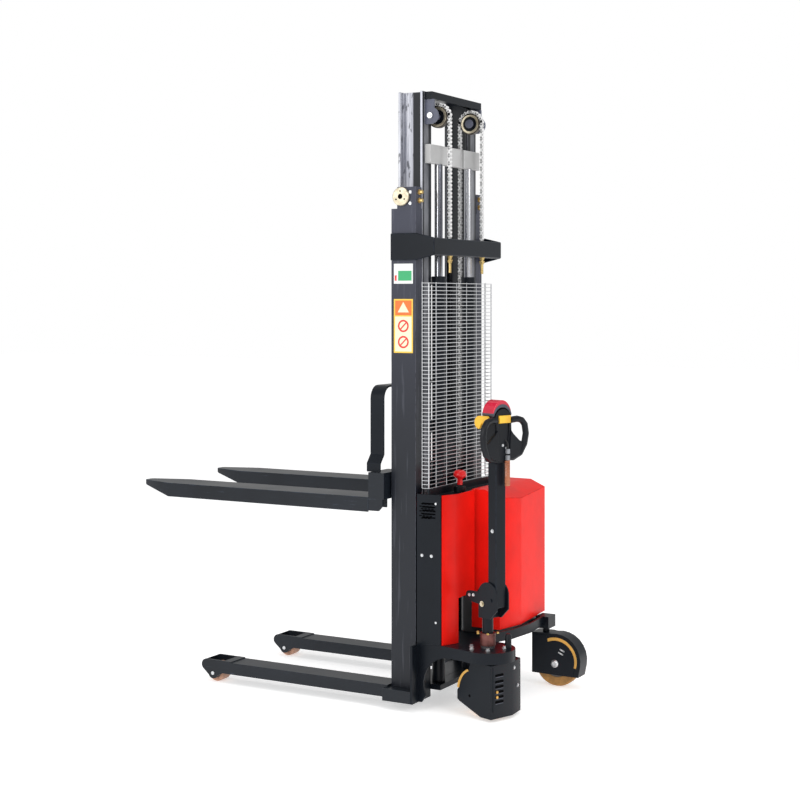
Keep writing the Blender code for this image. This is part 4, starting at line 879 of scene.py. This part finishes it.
def link_growth():
    """A roller chain along a path in the XZ plane: side plates, or the rollers and pins between them."""
    growth = Growth("chain links", Pitch=0.0159, Plate=0.0066, Width=0.017, Thick=0.0022, Rollers=0)
    path = growth.put("GeometryNodeMeshToCurve", {}, [growth.size("Geometry")])
    points = growth.group.nodes.new("GeometryNodeCurveToPoints")
    points.mode = "LENGTH"
    growth.group.links.new(path, points.inputs["Curve"])
    growth.group.links.new(growth.size("Pitch"), points.inputs["Length"])
    spots, tangent = points.outputs["Points"], points.outputs["Tangent"]
    turn = growth.put("FunctionNodeAlignRotationToVector", {"axis": "X"}, {"Vector": tangent})
    turn = growth.put(
        "FunctionNodeAlignRotationToVector",
        {"axis": "Y", "pivot_axis": "X"},
        {"Rotation": turn, "Vector": (0.0, 1.0, 0.0)},
    )
    parity = growth.maths("MODULO", growth.put("GeometryNodeInputIndex"), 2.0)
    half = growth.maths("MULTIPLY", growth.size("Pitch"), 0.5)
    lie = (math.pi / 2, 0.0, 0.0)

    def plates(spread):
        """Two figure-of-eight plates, set apart across the chain."""
        shift = growth.maths("MULTIPLY", growth.size("Width"), spread)
        eye = growth.drum(10, growth.size("Plate"), growth.size("Thick"))
        across = growth.maths("MULTIPLY", growth.size("Plate"), 1.1)
        size = growth.vector(growth.size("Pitch"), across, growth.size("Thick"))
        waist = growth.put("GeometryNodeMeshCube", {}, {"Size": size})
        eyes = [growth.moved(eye, x=half), growth.moved(eye, x=growth.maths("MULTIPLY", half, -1.0))]
        flat = growth.put(
            "GeometryNodeTransform", {}, {"Geometry": growth.join(waist, *eyes), "Rotation": lie}
        )
        other = growth.maths("MULTIPLY", shift, -1.0)
        return growth.join(growth.moved(flat, y=shift), growth.moved(flat, y=other))

    even = growth.maths("SUBTRACT", 1.0, parity)
    outer = growth.on_points(spots, plates(0.46), Rotation=turn, Selection=parity)
    inner = growth.on_points(spots, plates(0.31), Rotation=turn, Selection=even)
    sides = growth.join(outer, inner)
    thick = growth.maths("MULTIPLY", growth.size("Plate"), 0.72)
    roller = growth.drum(10, thick, growth.maths("MULTIPLY", growth.size("Width"), 0.88))
    roller = growth.put("GeometryNodeTransform", {}, {"Geometry": roller, "Rotation": lie})
    rollers = growth.on_points(spots, growth.moved(roller, x=half), Rotation=turn)
    wanted = growth.maths("GREATER_THAN", growth.size("Rollers"), 0.5)
    chosen = growth.put(
        "GeometryNodeSwitch",
        {"input_type": "GEOMETRY"},
        {"Switch": wanted, "False": sides, "True": rollers},
    )
    return growth.end(chosen)


GROWTHS = {}


def make_growths():
    GROWTHS.update(studs=stud_growth(), dashes=slot_growth(), wires=wire_growth(), links=link_growth())


def point_mesh(places, **vectors):
    """Bare points with vector attributes, one list each."""
    data = bpy.data.meshes.new("points")
    data.from_pydata([tuple(p) for p in places], [], [])
    for label, values in vectors.items():
        marks = data.attributes.new(label, "FLOAT_VECTOR", "POINT")
        marks.data.foreach_set("vector", [c for value in values for c in value])
    return data


def path_mesh(points):
    data = bpy.data.meshes.new("path")
    data.from_pydata(points, [(i, i + 1) for i in range(len(points) - 1)], [])
    return data


def studs(name, finish, body, places, facing, matrix=TRUCK, **sizes):
    """Fastener heads at places, all facing one way."""
    base = point_mesh(places, facing=[facing] * len(places))
    piece = grown(name, GROWTHS["studs"], base, finish, matrix, 30.0, **sizes)
    return keep(piece, body)


def dashes(name, finish, body, places, facing, along, matrix=TRUCK, **sizes):
    base = point_mesh(places, facing=[facing] * len(places), along=[along] * len(places))
    return keep(grown(name, GROWTHS["dashes"], base, finish, matrix, 30.0, **sizes), body)


# ---------------------------------------------------------------- mast


def show_mast():
    for side, sign in SIDES.items():
        stand_in(f"outer_mast_{side}", "mast", 0.0022, 3)
        stand_in(f"inner_mast_{side}", "beam", 0.0016, 2)
        stand_in(f"lift_cylinder_{side}", "black", 0.0008)
        stand_in(f"piston_rod_{side}", "chrome", 0.0008, angle=60.0)
        stand_in(f"pulley_bracket_{side}", "slate", 0.0012)
        stand_in(f"top_roller_{side}", "zinc", 0.0008)
        stand_in(f"carriage_roller_{side}", "cast", 0.0008)
        stand_in(f"leg_{side}", "scuffed", 0.0022, 3)
        stand_in(f"load_axle_{side}", "silver", 0.001)
        stand_in(f"load_wheel_{side}", f"load_{side}", 0.0006)
    stand_in("mast_lower_tie", "black", 0.0015)
    stand_in("mast_cross_brace", "black", 0.006, 4)
    stand_in("inner_mast_crosshead", "black", 0.0025, 3)
    stand_in("inner_mast_crossbar", "light_grey", 0.003, 3)
    stand_in("inner_mast_tie", "black", 0.002)


MAST_FACE, PANEL_FACE = 0.300, 0.3003
ROLLER_X, ROLLER_Z, ROLLER_MARKS = -0.9165, 2.068, 0.022
ROD_X, PULLEY_X, CHAIN_Y, PULLEY_Z = -0.9975, -1.0045, 0.148, 2.400
PITCH_RADIUS = 0.052
ANCHOR_Z, CARRIAGE_Z = 1.901, 0.9515


def show_pulleys():
    """Each pulley as a bright raised ring on a darker wheel whose dark finish is partly painted shade, with a
    dished hub and the axle's cap.
    """
    for side, sign in SIDES.items():
        centre = (PULLEY_X, sign * CHAIN_Y, PULLEY_Z)
        ring = [(0.0305, 0.0118), (0.0318, 0.0136), (0.0395, 0.0136), (0.0405, 0.0118)]
        ring += [(radius, -height) for radius, height in reversed(ring)]
        wheel = [(0.0305, 0.0118), (0.0410, 0.0118), (0.0448, 0.0095), (0.0452, 0.0)]
        wheel += [(0.0448, -0.0095), (0.0410, -0.0118), (0.0305, -0.0118), (0.0305, 0.0118)]
        hub = [(0.0126, 0.0075), (0.0200, 0.0075), (0.0215, 0.0095), (0.0300, 0.0098)]
        hub += [(radius, -height) for radius, height in reversed(hub)] + [hub[0]]
        made = [
            round_body(f"pulley_ring_{side}", "zinc", [*ring, ring[0]], "Y", centre, steps=56),
            round_body(f"pulley_wheel_{side}", "chain_roller", wheel, "Y", centre, steps=56),
            round_body(f"pulley_hub_{side}", "black", hub, "Y", centre, steps=40),
        ]
        keep(merged(f"chain_pulley_{side}_shown", made), f"chain_pulley_{side}", f"chain_pulley_{side}")
        inboard = CHAIN_Y - 0.0185
        cap = [(0.0, 0.003), (0.0155, 0.003), (0.0185, 0.001), (0.0185, -0.004), (0.0, -0.004)]
        keep(
            round_body(f"axle_cap_{side}", "slate", cap, "Y", (PULLEY_X, sign * inboard, PULLEY_Z), steps=32),
            "inner_mast",
        )
        studs(
            f"axle_bolt_{side}", "silver", "inner_mast", [(PULLEY_X, sign * 0.2253, PULLEY_Z)],
            (0.0, float(sign), 0.0), Radius=0.0065, Height=0.004, Washer=1.9, Sides=12,
        )


def chain_run(name, points, body_a, body_b=None, nodes=()):
    """A run of chain: its side plates and the rollers between them."""
    # the rollers' dark steel is partly painted shade in the gaps between the plates
    halves = [("plates", "chain"), ("rollers", "chain_roller")]
    made = [
        grown(f"{name}_{part}", GROWTHS["links"], path_mesh(points), finish, TRUCK, 30.0, Rollers=index)
        for index, (part, finish) in enumerate(halves)
    ]
    piece = merged(name, made)
    if body_b is None:
        return keep(piece, body_a, *nodes)
    ends = [TRUCK @ Vector(points[0]), TRUCK @ Vector(points[-1])]
    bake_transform(piece, body_a, body_b, start=ends[0], end=ends[1])
    return piece


def show_chains():
    """Rear fall from the brace, wrap over the pulley, front fall to the carriage."""
    for side, sign in SIDES.items():
        y = sign * CHAIN_Y
        back, front = PULLEY_X - PITCH_RADIUS, PULLEY_X + PITCH_RADIUS
        wrap = [(x, y, z) for x, z in arc((PULLEY_X, PULLEY_Z), PITCH_RADIUS, 180, 0, 24)]
        rear_fall = [(back, y, ANCHOR_Z - 0.03), (back, y, PULLEY_Z)]
        front_fall = [(front, y, CARRIAGE_Z), (front, y, PULLEY_Z)]
        chain_run(f"chain_wrap_{side}", wrap, "inner_mast", nodes=(f"lift_chain_{side}",))
        chain_run(f"chain_back_{side}", rear_fall, "chassis", "inner_mast")
        chain_run(f"chain_front_{side}", front_fall, "carriage", "inner_mast")


def show_mast_fittings():
    for side, sign in SIDES.items():
        # the top roller's hub and three marks in its cap, drawn in near-black painted shade
        profile = [(0.0, 0.0006), (0.0105, 0.0006), (0.0105, -0.002), (0.0, -0.002)]
        middle = (ROLLER_X, sign * (MAST_FACE + 0.0142), ROLLER_Z)
        hub = round_body(f"roller_hub_{side}", "recess", profile, "Y", middle, steps=24)
        keep(hub, f"top_roller_{side}")
        ring = arc((ROLLER_X, ROLLER_Z), ROLLER_MARKS, 90, 330, 2)
        marks = [(x, sign * (MAST_FACE + 0.0140), z) for x, z in ring]
        studs(
            f"roller_marks_{side}", "recess", f"top_roller_{side}", marks, (0.0, float(sign), 0.0),
            Radius=0.0032, Height=0.0008, Washer=1.0, Sides=12,
        )
        # adjusting bolts behind the roller's bracket
        studs(
            f"adjusting_bolts_{side}", "gold", "chassis",
            [(-0.981, sign * 0.272, 2.052), (-0.981, sign * 0.272, 2.086)], (-1.0, 0.0, 0.0),
            Radius=0.0085, Height=0.016, Washer=1.3,
        )
        # chain anchors: a stud through the brace with two nuts under it
        stem = [(0.0, 0.03), (0.006, 0.03), (0.006, -0.042), (0.0, -0.042)]
        x, y = PULLEY_X - PITCH_RADIUS, sign * CHAIN_Y
        anchor = round_body(f"anchor_stem_{side}", "gold", stem, "Z", (x, y, 1.803), steps=16)
        keep(anchor, "chassis")
        studs(
            f"anchor_nuts_{side}", "gold", "chassis", [(x, y, 1.829), (x, y, 1.812)],
            (0.0, 0.0, -1.0), Radius=0.010, Height=0.010, Washer=1.2,
        )
        studs(
            f"bracket_bolts_{side}", "silver", "chassis",
            [(-0.955, sign * PANEL_FACE, 2.040), (-0.955, sign * PANEL_FACE, 2.085)],
            (0.0, float(sign), 0.0), Radius=0.0055, Height=0.003, Washer=1.3,
        )


def show_labels():
    """Plain blocks of colour where the mast carries its plates."""
    face = PANEL_FACE
    plates = [
        ("plate_white", "white_film", (-0.968, -0.880), (1.716, 1.797), 0.0004),
        ("plate_green", "green_film", (-0.962, -0.900), (1.728, 1.768), 0.0006),
        ("plate_red", "red_film", (-0.893, -0.884), (1.728, 1.750), 0.0006),
        ("plate_yellow_edge", "yellow_film", (-0.968, -0.880), (1.436, 1.654), 0.0004),
        ("plate_cream", "cream_film", (-0.962, -0.886), (1.442, 1.583), 0.0006),
        ("plate_orange", "orange_film", (-0.962, -0.886), (1.588, 1.648), 0.0006),
    ]
    made = []
    for name, finish, x, z, lift in plates:
        shape = bmesh.new()
        add_box(shape, x, (face, face + lift), z)
        made.append(from_shape(name, shape, finish))
    sign = bmesh.new()
    add_prism(sign, [(-0.950, 1.600), (-0.898, 1.600), (-0.924, 1.642)], "Y", (face, face + 0.0009))
    made.append(from_shape("plate_triangle", sign, "cream_film"))
    for z in (1.545, 1.480):
        profile = [(0.018, 0.0004), (0.025, 0.0004), (0.025, -0.0004), (0.018, -0.0004), (0.018, 0.0004)]
        ring = round_body("plate_ring", "red_film", profile, "Y", (-0.924, face + 0.0006, z))
        bar = bmesh.new()
        add_box(bar, (-0.021, 0.021), (face + 0.0001, face + 0.0009), (-0.0028, 0.0028))
        slant = Matrix.Rotation(math.radians(45), 3, "Y")
        bmesh.ops.rotate(bar, cent=(0.0, 0.0, 0.0), matrix=slant, verts=bar.verts)
        bmesh.ops.translate(bar, vec=(-0.924, 0.0, z), verts=bar.verts)
        made += [ring, from_shape("plate_bar", bar, "red_film")]
    keep(merged("mast_plates", made), "chassis")


def show_guard():
    reach, plane = 0.285, ROD_X - 0.0375
    front = plane + 0.033
    path = [(front, -reach, 0.0), (plane, -reach, 0.0), (plane, reach, 0.0), (front, reach, 0.0)]
    bottom = TRUCK @ Matrix.Translation((0.0, 0.0, 0.8925))
    wires = grown("guard_wires", GROWTHS["wires"], path_mesh(path), "wire", bottom, 40.0)
    keep(wires, "chassis", "mesh_guard")
    for side, sign in SIDES.items():
        y = sign * (reach + 0.0005)
        x = (plane + 0.0005, plane + 0.0035)
        edge = block(f"guard_strip_{side}", "wire", x, (y - 0.003, y + 0.003), (0.892, 1.719), 0.0008)
        keep(edge, "chassis")


# ---------------------------------------------------------------- carriage and forks


def show_carriage():
    stand_in("carriage_frame", "scuffed", 0.0022, 3)
    stand_in("load_backrest", "black", 0.0014, 2, angle=40.0)
    for side in SIDES:
        stand_in(f"fork_{side}", "scuffed", 0.0024, 3)


# ---------------------------------------------------------------- body


def show_body():
    stand_in("chassis_base", "black", 0.0018, 2)
    stand_in("side_panel_left", "black", 0.0008)
    stand_in("side_panel_right", "black", 0.0008)
    stand_in("rear_cover_left", "red", 0.0011, 2, angle=50.0)
    stand_in("battery_cover", "red", 0.0045, 4)
    stand_in("top_panel", "black", 0.0012)
    stand_in("battery_pack", "case", 0.003, 3)
    stand_in("pump_motor", "cast", 0.0015)
    stand_in("oil_tank", "case", 0.003, 3)
    stand_in("motor_controller", "cast", 0.0012)
    stand_in("emergency_stop_base", "black_plastic", 0.0012)
    stand_in("emergency_stop_button", "signal_red", 0.0006, angle=60.0)


def show_vents():
    """The round patch of short dashes on the left side panel, in near-black painted shade standing for vent slots,
    and its two screws.
    """
    centre = (-1.030, 0.803)
    places = []
    for row in range(-3, 4):
        z = centre[1] + row * 0.0095
        for column in range(-2, 3):
            x = centre[0] + column * 0.0155 + (0.004 if row % 2 else -0.004)
            if math.hypot(x - centre[0], z - centre[1]) < 0.036:
                places.append((x, PANEL_FACE, z))
    dashes(
        "vent_dashes", "recess", "chassis", places, (0.0, 1.0, 0.0), (1.0, 0.0, 0.0),
        Length=0.0125, Width=0.0042, Depth=0.0012,
    )
    studs(
        "panel_screws", "silver", "chassis",
        [(-1.0094, PANEL_FACE, 0.6249), (-1.0522, PANEL_FACE, 0.6247)], (0.0, 1.0, 0.0),
        Radius=0.0045, Height=0.003, Washer=1.4, Sides=16,
    )


def show_small_parts():
    """Screws along the left panel's rear edge, and a dark plate of painted shade behind its vent slots."""
    behind = (0.2925, 0.2945)
    shade_plate = block("vent_shade_plate", "recess", (-1.066, -0.994), behind, (0.757, 0.849), 0.0004)
    keep(shade_plate, "chassis")
    studs(
        "panel_edge_screws", "silver", "chassis",
        [(-1.072, PANEL_FACE, 0.835), (-1.072, PANEL_FACE, 0.360)], (0.0, 1.0, 0.0),
        Radius=0.0034, Height=0.0024, Washer=1.4, Sides=14,
    )


# ---------------------------------------------------------------- drive unit and tiller


def show_drive():
    stand_in("drive_gearbox", "cast", 0.0012)
    stand_in("drive_motor", "cast", 0.002, 3)
    stand_in("drive_cover", "black", 0.004, 4)
    stand_in("steering_ring", "copper", 0.0012)
    stand_in("tiller_bracket", "black", 0.0014)
    stand_in("drive_wheel", "drive", 0.0008)
    back = (-0.9994, 0.0348, 0.0)
    rows = (0.182, 0.157, 0.137, 0.117, 0.097, 0.078)
    # the louvre slots as raised dashes in near-black painted shade
    dashes(
        "cover_louvres", "recess", "drive_unit", [(-0.0937, 0.030, z) for z in rows], back,
        (0.0348, 0.9994, 0.0), DRIVE, Length=0.045, Width=0.0095, Depth=0.0014,
    )
    studs(
        "louvre_lamps", "amber", "drive_unit", [(-0.0936, 0.043, 0.117), (-0.0936, 0.043, 0.097)], back,
        DRIVE, Radius=0.0052, Height=0.003, Washer=1.1, Sides=14,
    )
    dashes(
        "louvre_lips", "slate_plastic", "drive_unit", [(-0.0937, 0.030, z - 0.0072) for z in rows], back,
        (0.0348, 0.9994, 0.0), DRIVE, Length=0.042, Width=0.0022, Depth=0.0012,
    )
    crease = [(-0.0925, 0.0755), (-0.0925, 0.0625)]
    for place, name in zip(crease, ("near", "far")):
        line = [(*place, 0.040), (*place, 0.216)]
        ridge = hose(f"cover_fold_{name}", "black", line, 0.0022, DRIVE, smooth_path=False)
        keep(ridge, "drive_unit")
    studs(
        "cover_screws", "silver", "drive_unit", [(-0.0889, -0.057, 0.197), (-0.0750, -0.091, 0.120)],
        (-0.924, -0.383, 0.0), DRIVE, Radius=0.006, Height=0.0035, Washer=1.25, Sides=16,
    )
    # a hole in the cover, drawn as a disc of near-black painted shade
    hole = [(0.0, 0.0006), (0.0052, 0.0006), (0.0062, -0.001), (0.0, -0.001)]
    keep(round_body("cover_hole", "recess", hole, "Y", (0.0274, 0.0752, 0.0857), DRIVE, 20), "drive_unit")
    # the tyre's edge beside the cover's open front
    outer, inner = arc((-0.004, 0.098), 0.1005, 6, 66, 16), arc((-0.008, 0.098), 0.0935, 66, 6, 16)
    tyre = slab("tyre_flank", "amber", outer + inner, "Y", (0.0755, 0.0775), 0.0008, DRIVE)
    keep(tyre, "drive_unit")
    # fittings on the head plate round the column
    top = 0.2705
    bolts = [(0.052, 0.040, top), (-0.046, 0.046, top), (-0.056, -0.036, top), (0.020, 0.070, top)]
    ring = [(x * 0.6, y * 0.6, 0.330) for x, y, _ in bolts]
    up = (0.0, 0.0, 1.0)
    studs("ring_bolts", "brass", "drive_unit", ring, up, DRIVE, Radius=0.0048, Height=0.005, Washer=1.3)
    studs("head_bolts", "silver", "chassis", bolts, up, DRIVE, Radius=0.007, Height=0.010, Washer=1.4)
    studs(
        "cheek_bolts_small", "silver", "drive_unit", [(0.0686, 0.0350, 0.4745), (0.0460, 0.0350, 0.4770)],
        (0.0, 1.0, 0.0), DRIVE, Radius=0.005, Height=0.004, Washer=1.3,
    )
    studs(
        "cheek_bolt_large", "zinc", "drive_unit", [(-0.0021, 0.0350, 0.4480)], (0.0, 1.0, 0.0), DRIVE,
        Radius=0.0075, Height=0.006, Washer=1.5,
    )
    profile = [(0.0, 0.0), (0.013, 0.0), (0.013, 0.050), (0.009, 0.057), (0.0, 0.058)]
    post = round_body("head_post", "black_plastic", profile, "Z", (-0.062, -0.052, top), DRIVE)
    keep(post, "drive_unit")


COIL_X, COIL_Y, COIL_RADIUS, COIL_BOTTOM = -0.0415, -0.0175, 0.0085, 0.452
COIL_STEPS, COIL_TURN, COIL_RISE = 150, 0.7, 0.00066


def show_tiller():
    stand_in("tiller_arm", "black", 0.004, 4)
    show_head_crown()
    show_hand_loops()
    studs(
        "head_screws", "silver", "tiller", [(-0.0362, 0.004, 0.612), (-0.0362, -0.016, 0.600)],
        (-1.0, 0.0, 0.0), TILLER, Radius=0.0042, Height=0.003, Washer=1.3, Sides=14,
    )
    studs(
        "arm_screw", "silver", "tiller", [(-0.0039, 0.0277, 0.2736)], (0.0, 1.0, 0.0), TILLER,
        Radius=0.0062, Height=0.004, Washer=1.25, Sides=18,
    )
    show_coil_cable()
    stand_in("tiller_head", "black_plastic", 0.003, 3)
    stand_in("throttle_butterfly", "yellow", 0.0016, 3)
    stand_in("lift_button", "yellow", 0.0016, 3)
    stand_in("belly_button", "crimson", 0.004, 4)


def show_head_crown():
    """A grey saddle under the belly button, and a paler panel on its left flank."""
    pin = JOINTS["tiller_tilt"]["pos_m"][2]
    crown = arc((0.0, 1.176 - pin), 0.046, 12, 168, 24)

    def raised(points, wider, lift, swell):
        return [(y * wider, z + lift + swell * (1.0 - (y / 0.075) ** 2)) for y, z in points]

    saddle = raised(crown, 1.04, 0.006, 0.0) + raised(crown, 1.13, 0.0065, 0.012)[::-1]
    saddle = slab("head_saddle", "slate_plastic", saddle, "X", (-0.0325, 0.0325), 0.0012, TILLER)
    keep(saddle, "belly_button")
    left = crown[:8]
    flank = raised(left, 1.08, 0.0075, 0.010) + raised(left, 1.118, 0.0085, 0.011)[::-1]
    flank = slab("head_flank", "pale_plastic", flank, "X", (-0.030, 0.030), 0.0008, TILLER)
    keep(flank, "belly_button")


def show_hand_loops():
    """The solid lower part of each hand loop, and a rib down each side of the head."""
    for side, sign in SIDES.items():
        web = [(0.036, 0.672), (0.050, 0.656), (0.084, 0.628), (0.110, 0.618), (0.111, 0.610)]
        web += [(0.094, 0.5770), (0.062, 0.5590), (0.026, 0.5520)]
        web = [(sign * y, z) for y, z in web]
        web = slab(f"loop_web_{side}", "black_plastic", web, "X", (-0.0455, -0.029), 0.003, TILLER, 40.0)
        keep(web, "tiller")
        rib = [(sign * y, z) for y, z in [(0.031, 0.705), (0.043, 0.700), (0.030, 0.575), (0.022, 0.560)]]
        rib = slab(f"head_rib_{side}", "black_plastic", rib, "X", (-0.0395, -0.034), 0.0018, TILLER)
        keep(rib, "tiller")


def show_coil_cable():
    """The coiled cable up the back of the arm, its two plugs and the lead into the head."""
    turns = []
    for step in range(COIL_STEPS):
        angle = step * COIL_TURN
        x, y = COIL_X + COIL_RADIUS * math.cos(angle), COIL_Y + COIL_RADIUS * math.sin(angle)
        turns.append((x, y, COIL_BOTTOM + step * COIL_RISE))
    keep(hose("coil_cable", "orange", turns, 0.0027, TILLER, sides=2), "tiller")
    plug_x, plug_y = (-0.050, -0.0365), (-0.0245, -0.0105)
    for index, z in enumerate((0.553, 0.578)):
        name = f"cable_plug_{index + 1}"
        keep(block(name, "grey_plastic", plug_x, plug_y, (z, z + 0.019), 0.0018, TILLER), "tiller")
    lead = [(COIL_X, COIL_Y, 0.597), (-0.044, -0.018, 0.612)]
    lead += [(-0.040, -0.016, 0.625), (-0.034, -0.012, 0.632)]
    keep(hose("cable_lead", "rubber", lead, 0.0032, TILLER), "tiller")


def show_caster():
    stand_in("caster_fork", "black", 0.0012)
    stand_in("caster_cover", "black", 0.003, 3)
    stand_in("caster_wheel", "caster", 0.0008)
    face = 0.0387
    for side, sign in SIDES.items():
        lie = (sign * face, sign * (face + 0.0012))
        gap = arc((-0.062, 0.115), 0.0960, 60, 196, 24) + arc((-0.062, 0.113), 0.0850, 196, 60, 24)
        keep(slab(f"tyre_gap_{side}", "amber", gap, "Y", lie, 0.0004, CASTER), "caster")
        plate = [(0.040, 0.060), (0.040, 0.216), (-0.020, 0.218)]
        plate += arc((-0.062, 0.113), 0.0845, 64, 190, 16) + [(-0.142, 0.056)]
        lift = (sign * face, sign * (face + 0.0026))
        keep(slab(f"near_plate_{side}", "black", plate, "Y", lift, 0.0012, CASTER), "caster")
        places = [(-0.0915, sign * (face + 0.0027), 0.1592), (-0.0850, sign * (face + 0.0027), 0.1452)]
        dashes(
            f"caster_slots_{side}", "silver", "caster", places, (0.0, float(sign), 0.0), (0.91, 0.0, 0.41),
            CASTER, Length=0.024, Width=0.0062, Depth=0.0010,
        )
        hub = [(0.0, 0.009), (0.0095, 0.009), (0.0115, 0.006), (0.0165, 0.003), (0.0165, 0.0), (0.0, 0.0)]
        if sign < 0:
            hub = [(radius, -height) for radius, height in hub]
        cap = round_body(f"caster_cap_{side}", "silver", hub, "Y", (-0.057, sign * face, 0.100), CASTER)
        keep(cap, "caster")


# ---------------------------------------------------------------- floor


def show_floor():
    paint = Paint("pale floor", roughness=0.7, Specular_IOR_Level=0.1, Emission_Strength=0.48)
    paint.shader.inputs["Emission Color"].default_value = (1.0, 1.0, 1.0, 1.0)
    grain = paint.noise(1.2, 3.0)
    paint.finish(paint.mix(grain, (0.92, 0.92, 0.92), (0.95, 0.95, 0.95)), roughness=0.65 + grain * 0.1)
    data = bpy.data.meshes.new("floor")
    far = 30.0
    data.from_pydata(
        [(-far, -far, 0.0), (far, -far, 0.0), (far, far, 0.0), (-far, far, 0.0)], [], [(0, 1, 2, 3)]
    )
    floor = as_object("floor", data)
    data.materials.append(paint.material)


set_camera()
set_studio()
make_finishes()
make_growths()
show_floor()
show_mast()
show_pulleys()
show_chains()
show_mast_fittings()
show_labels()
show_guard()
show_carriage()
show_body()
show_vents()
show_small_parts()
show_drive()
show_tiller()
show_caster()
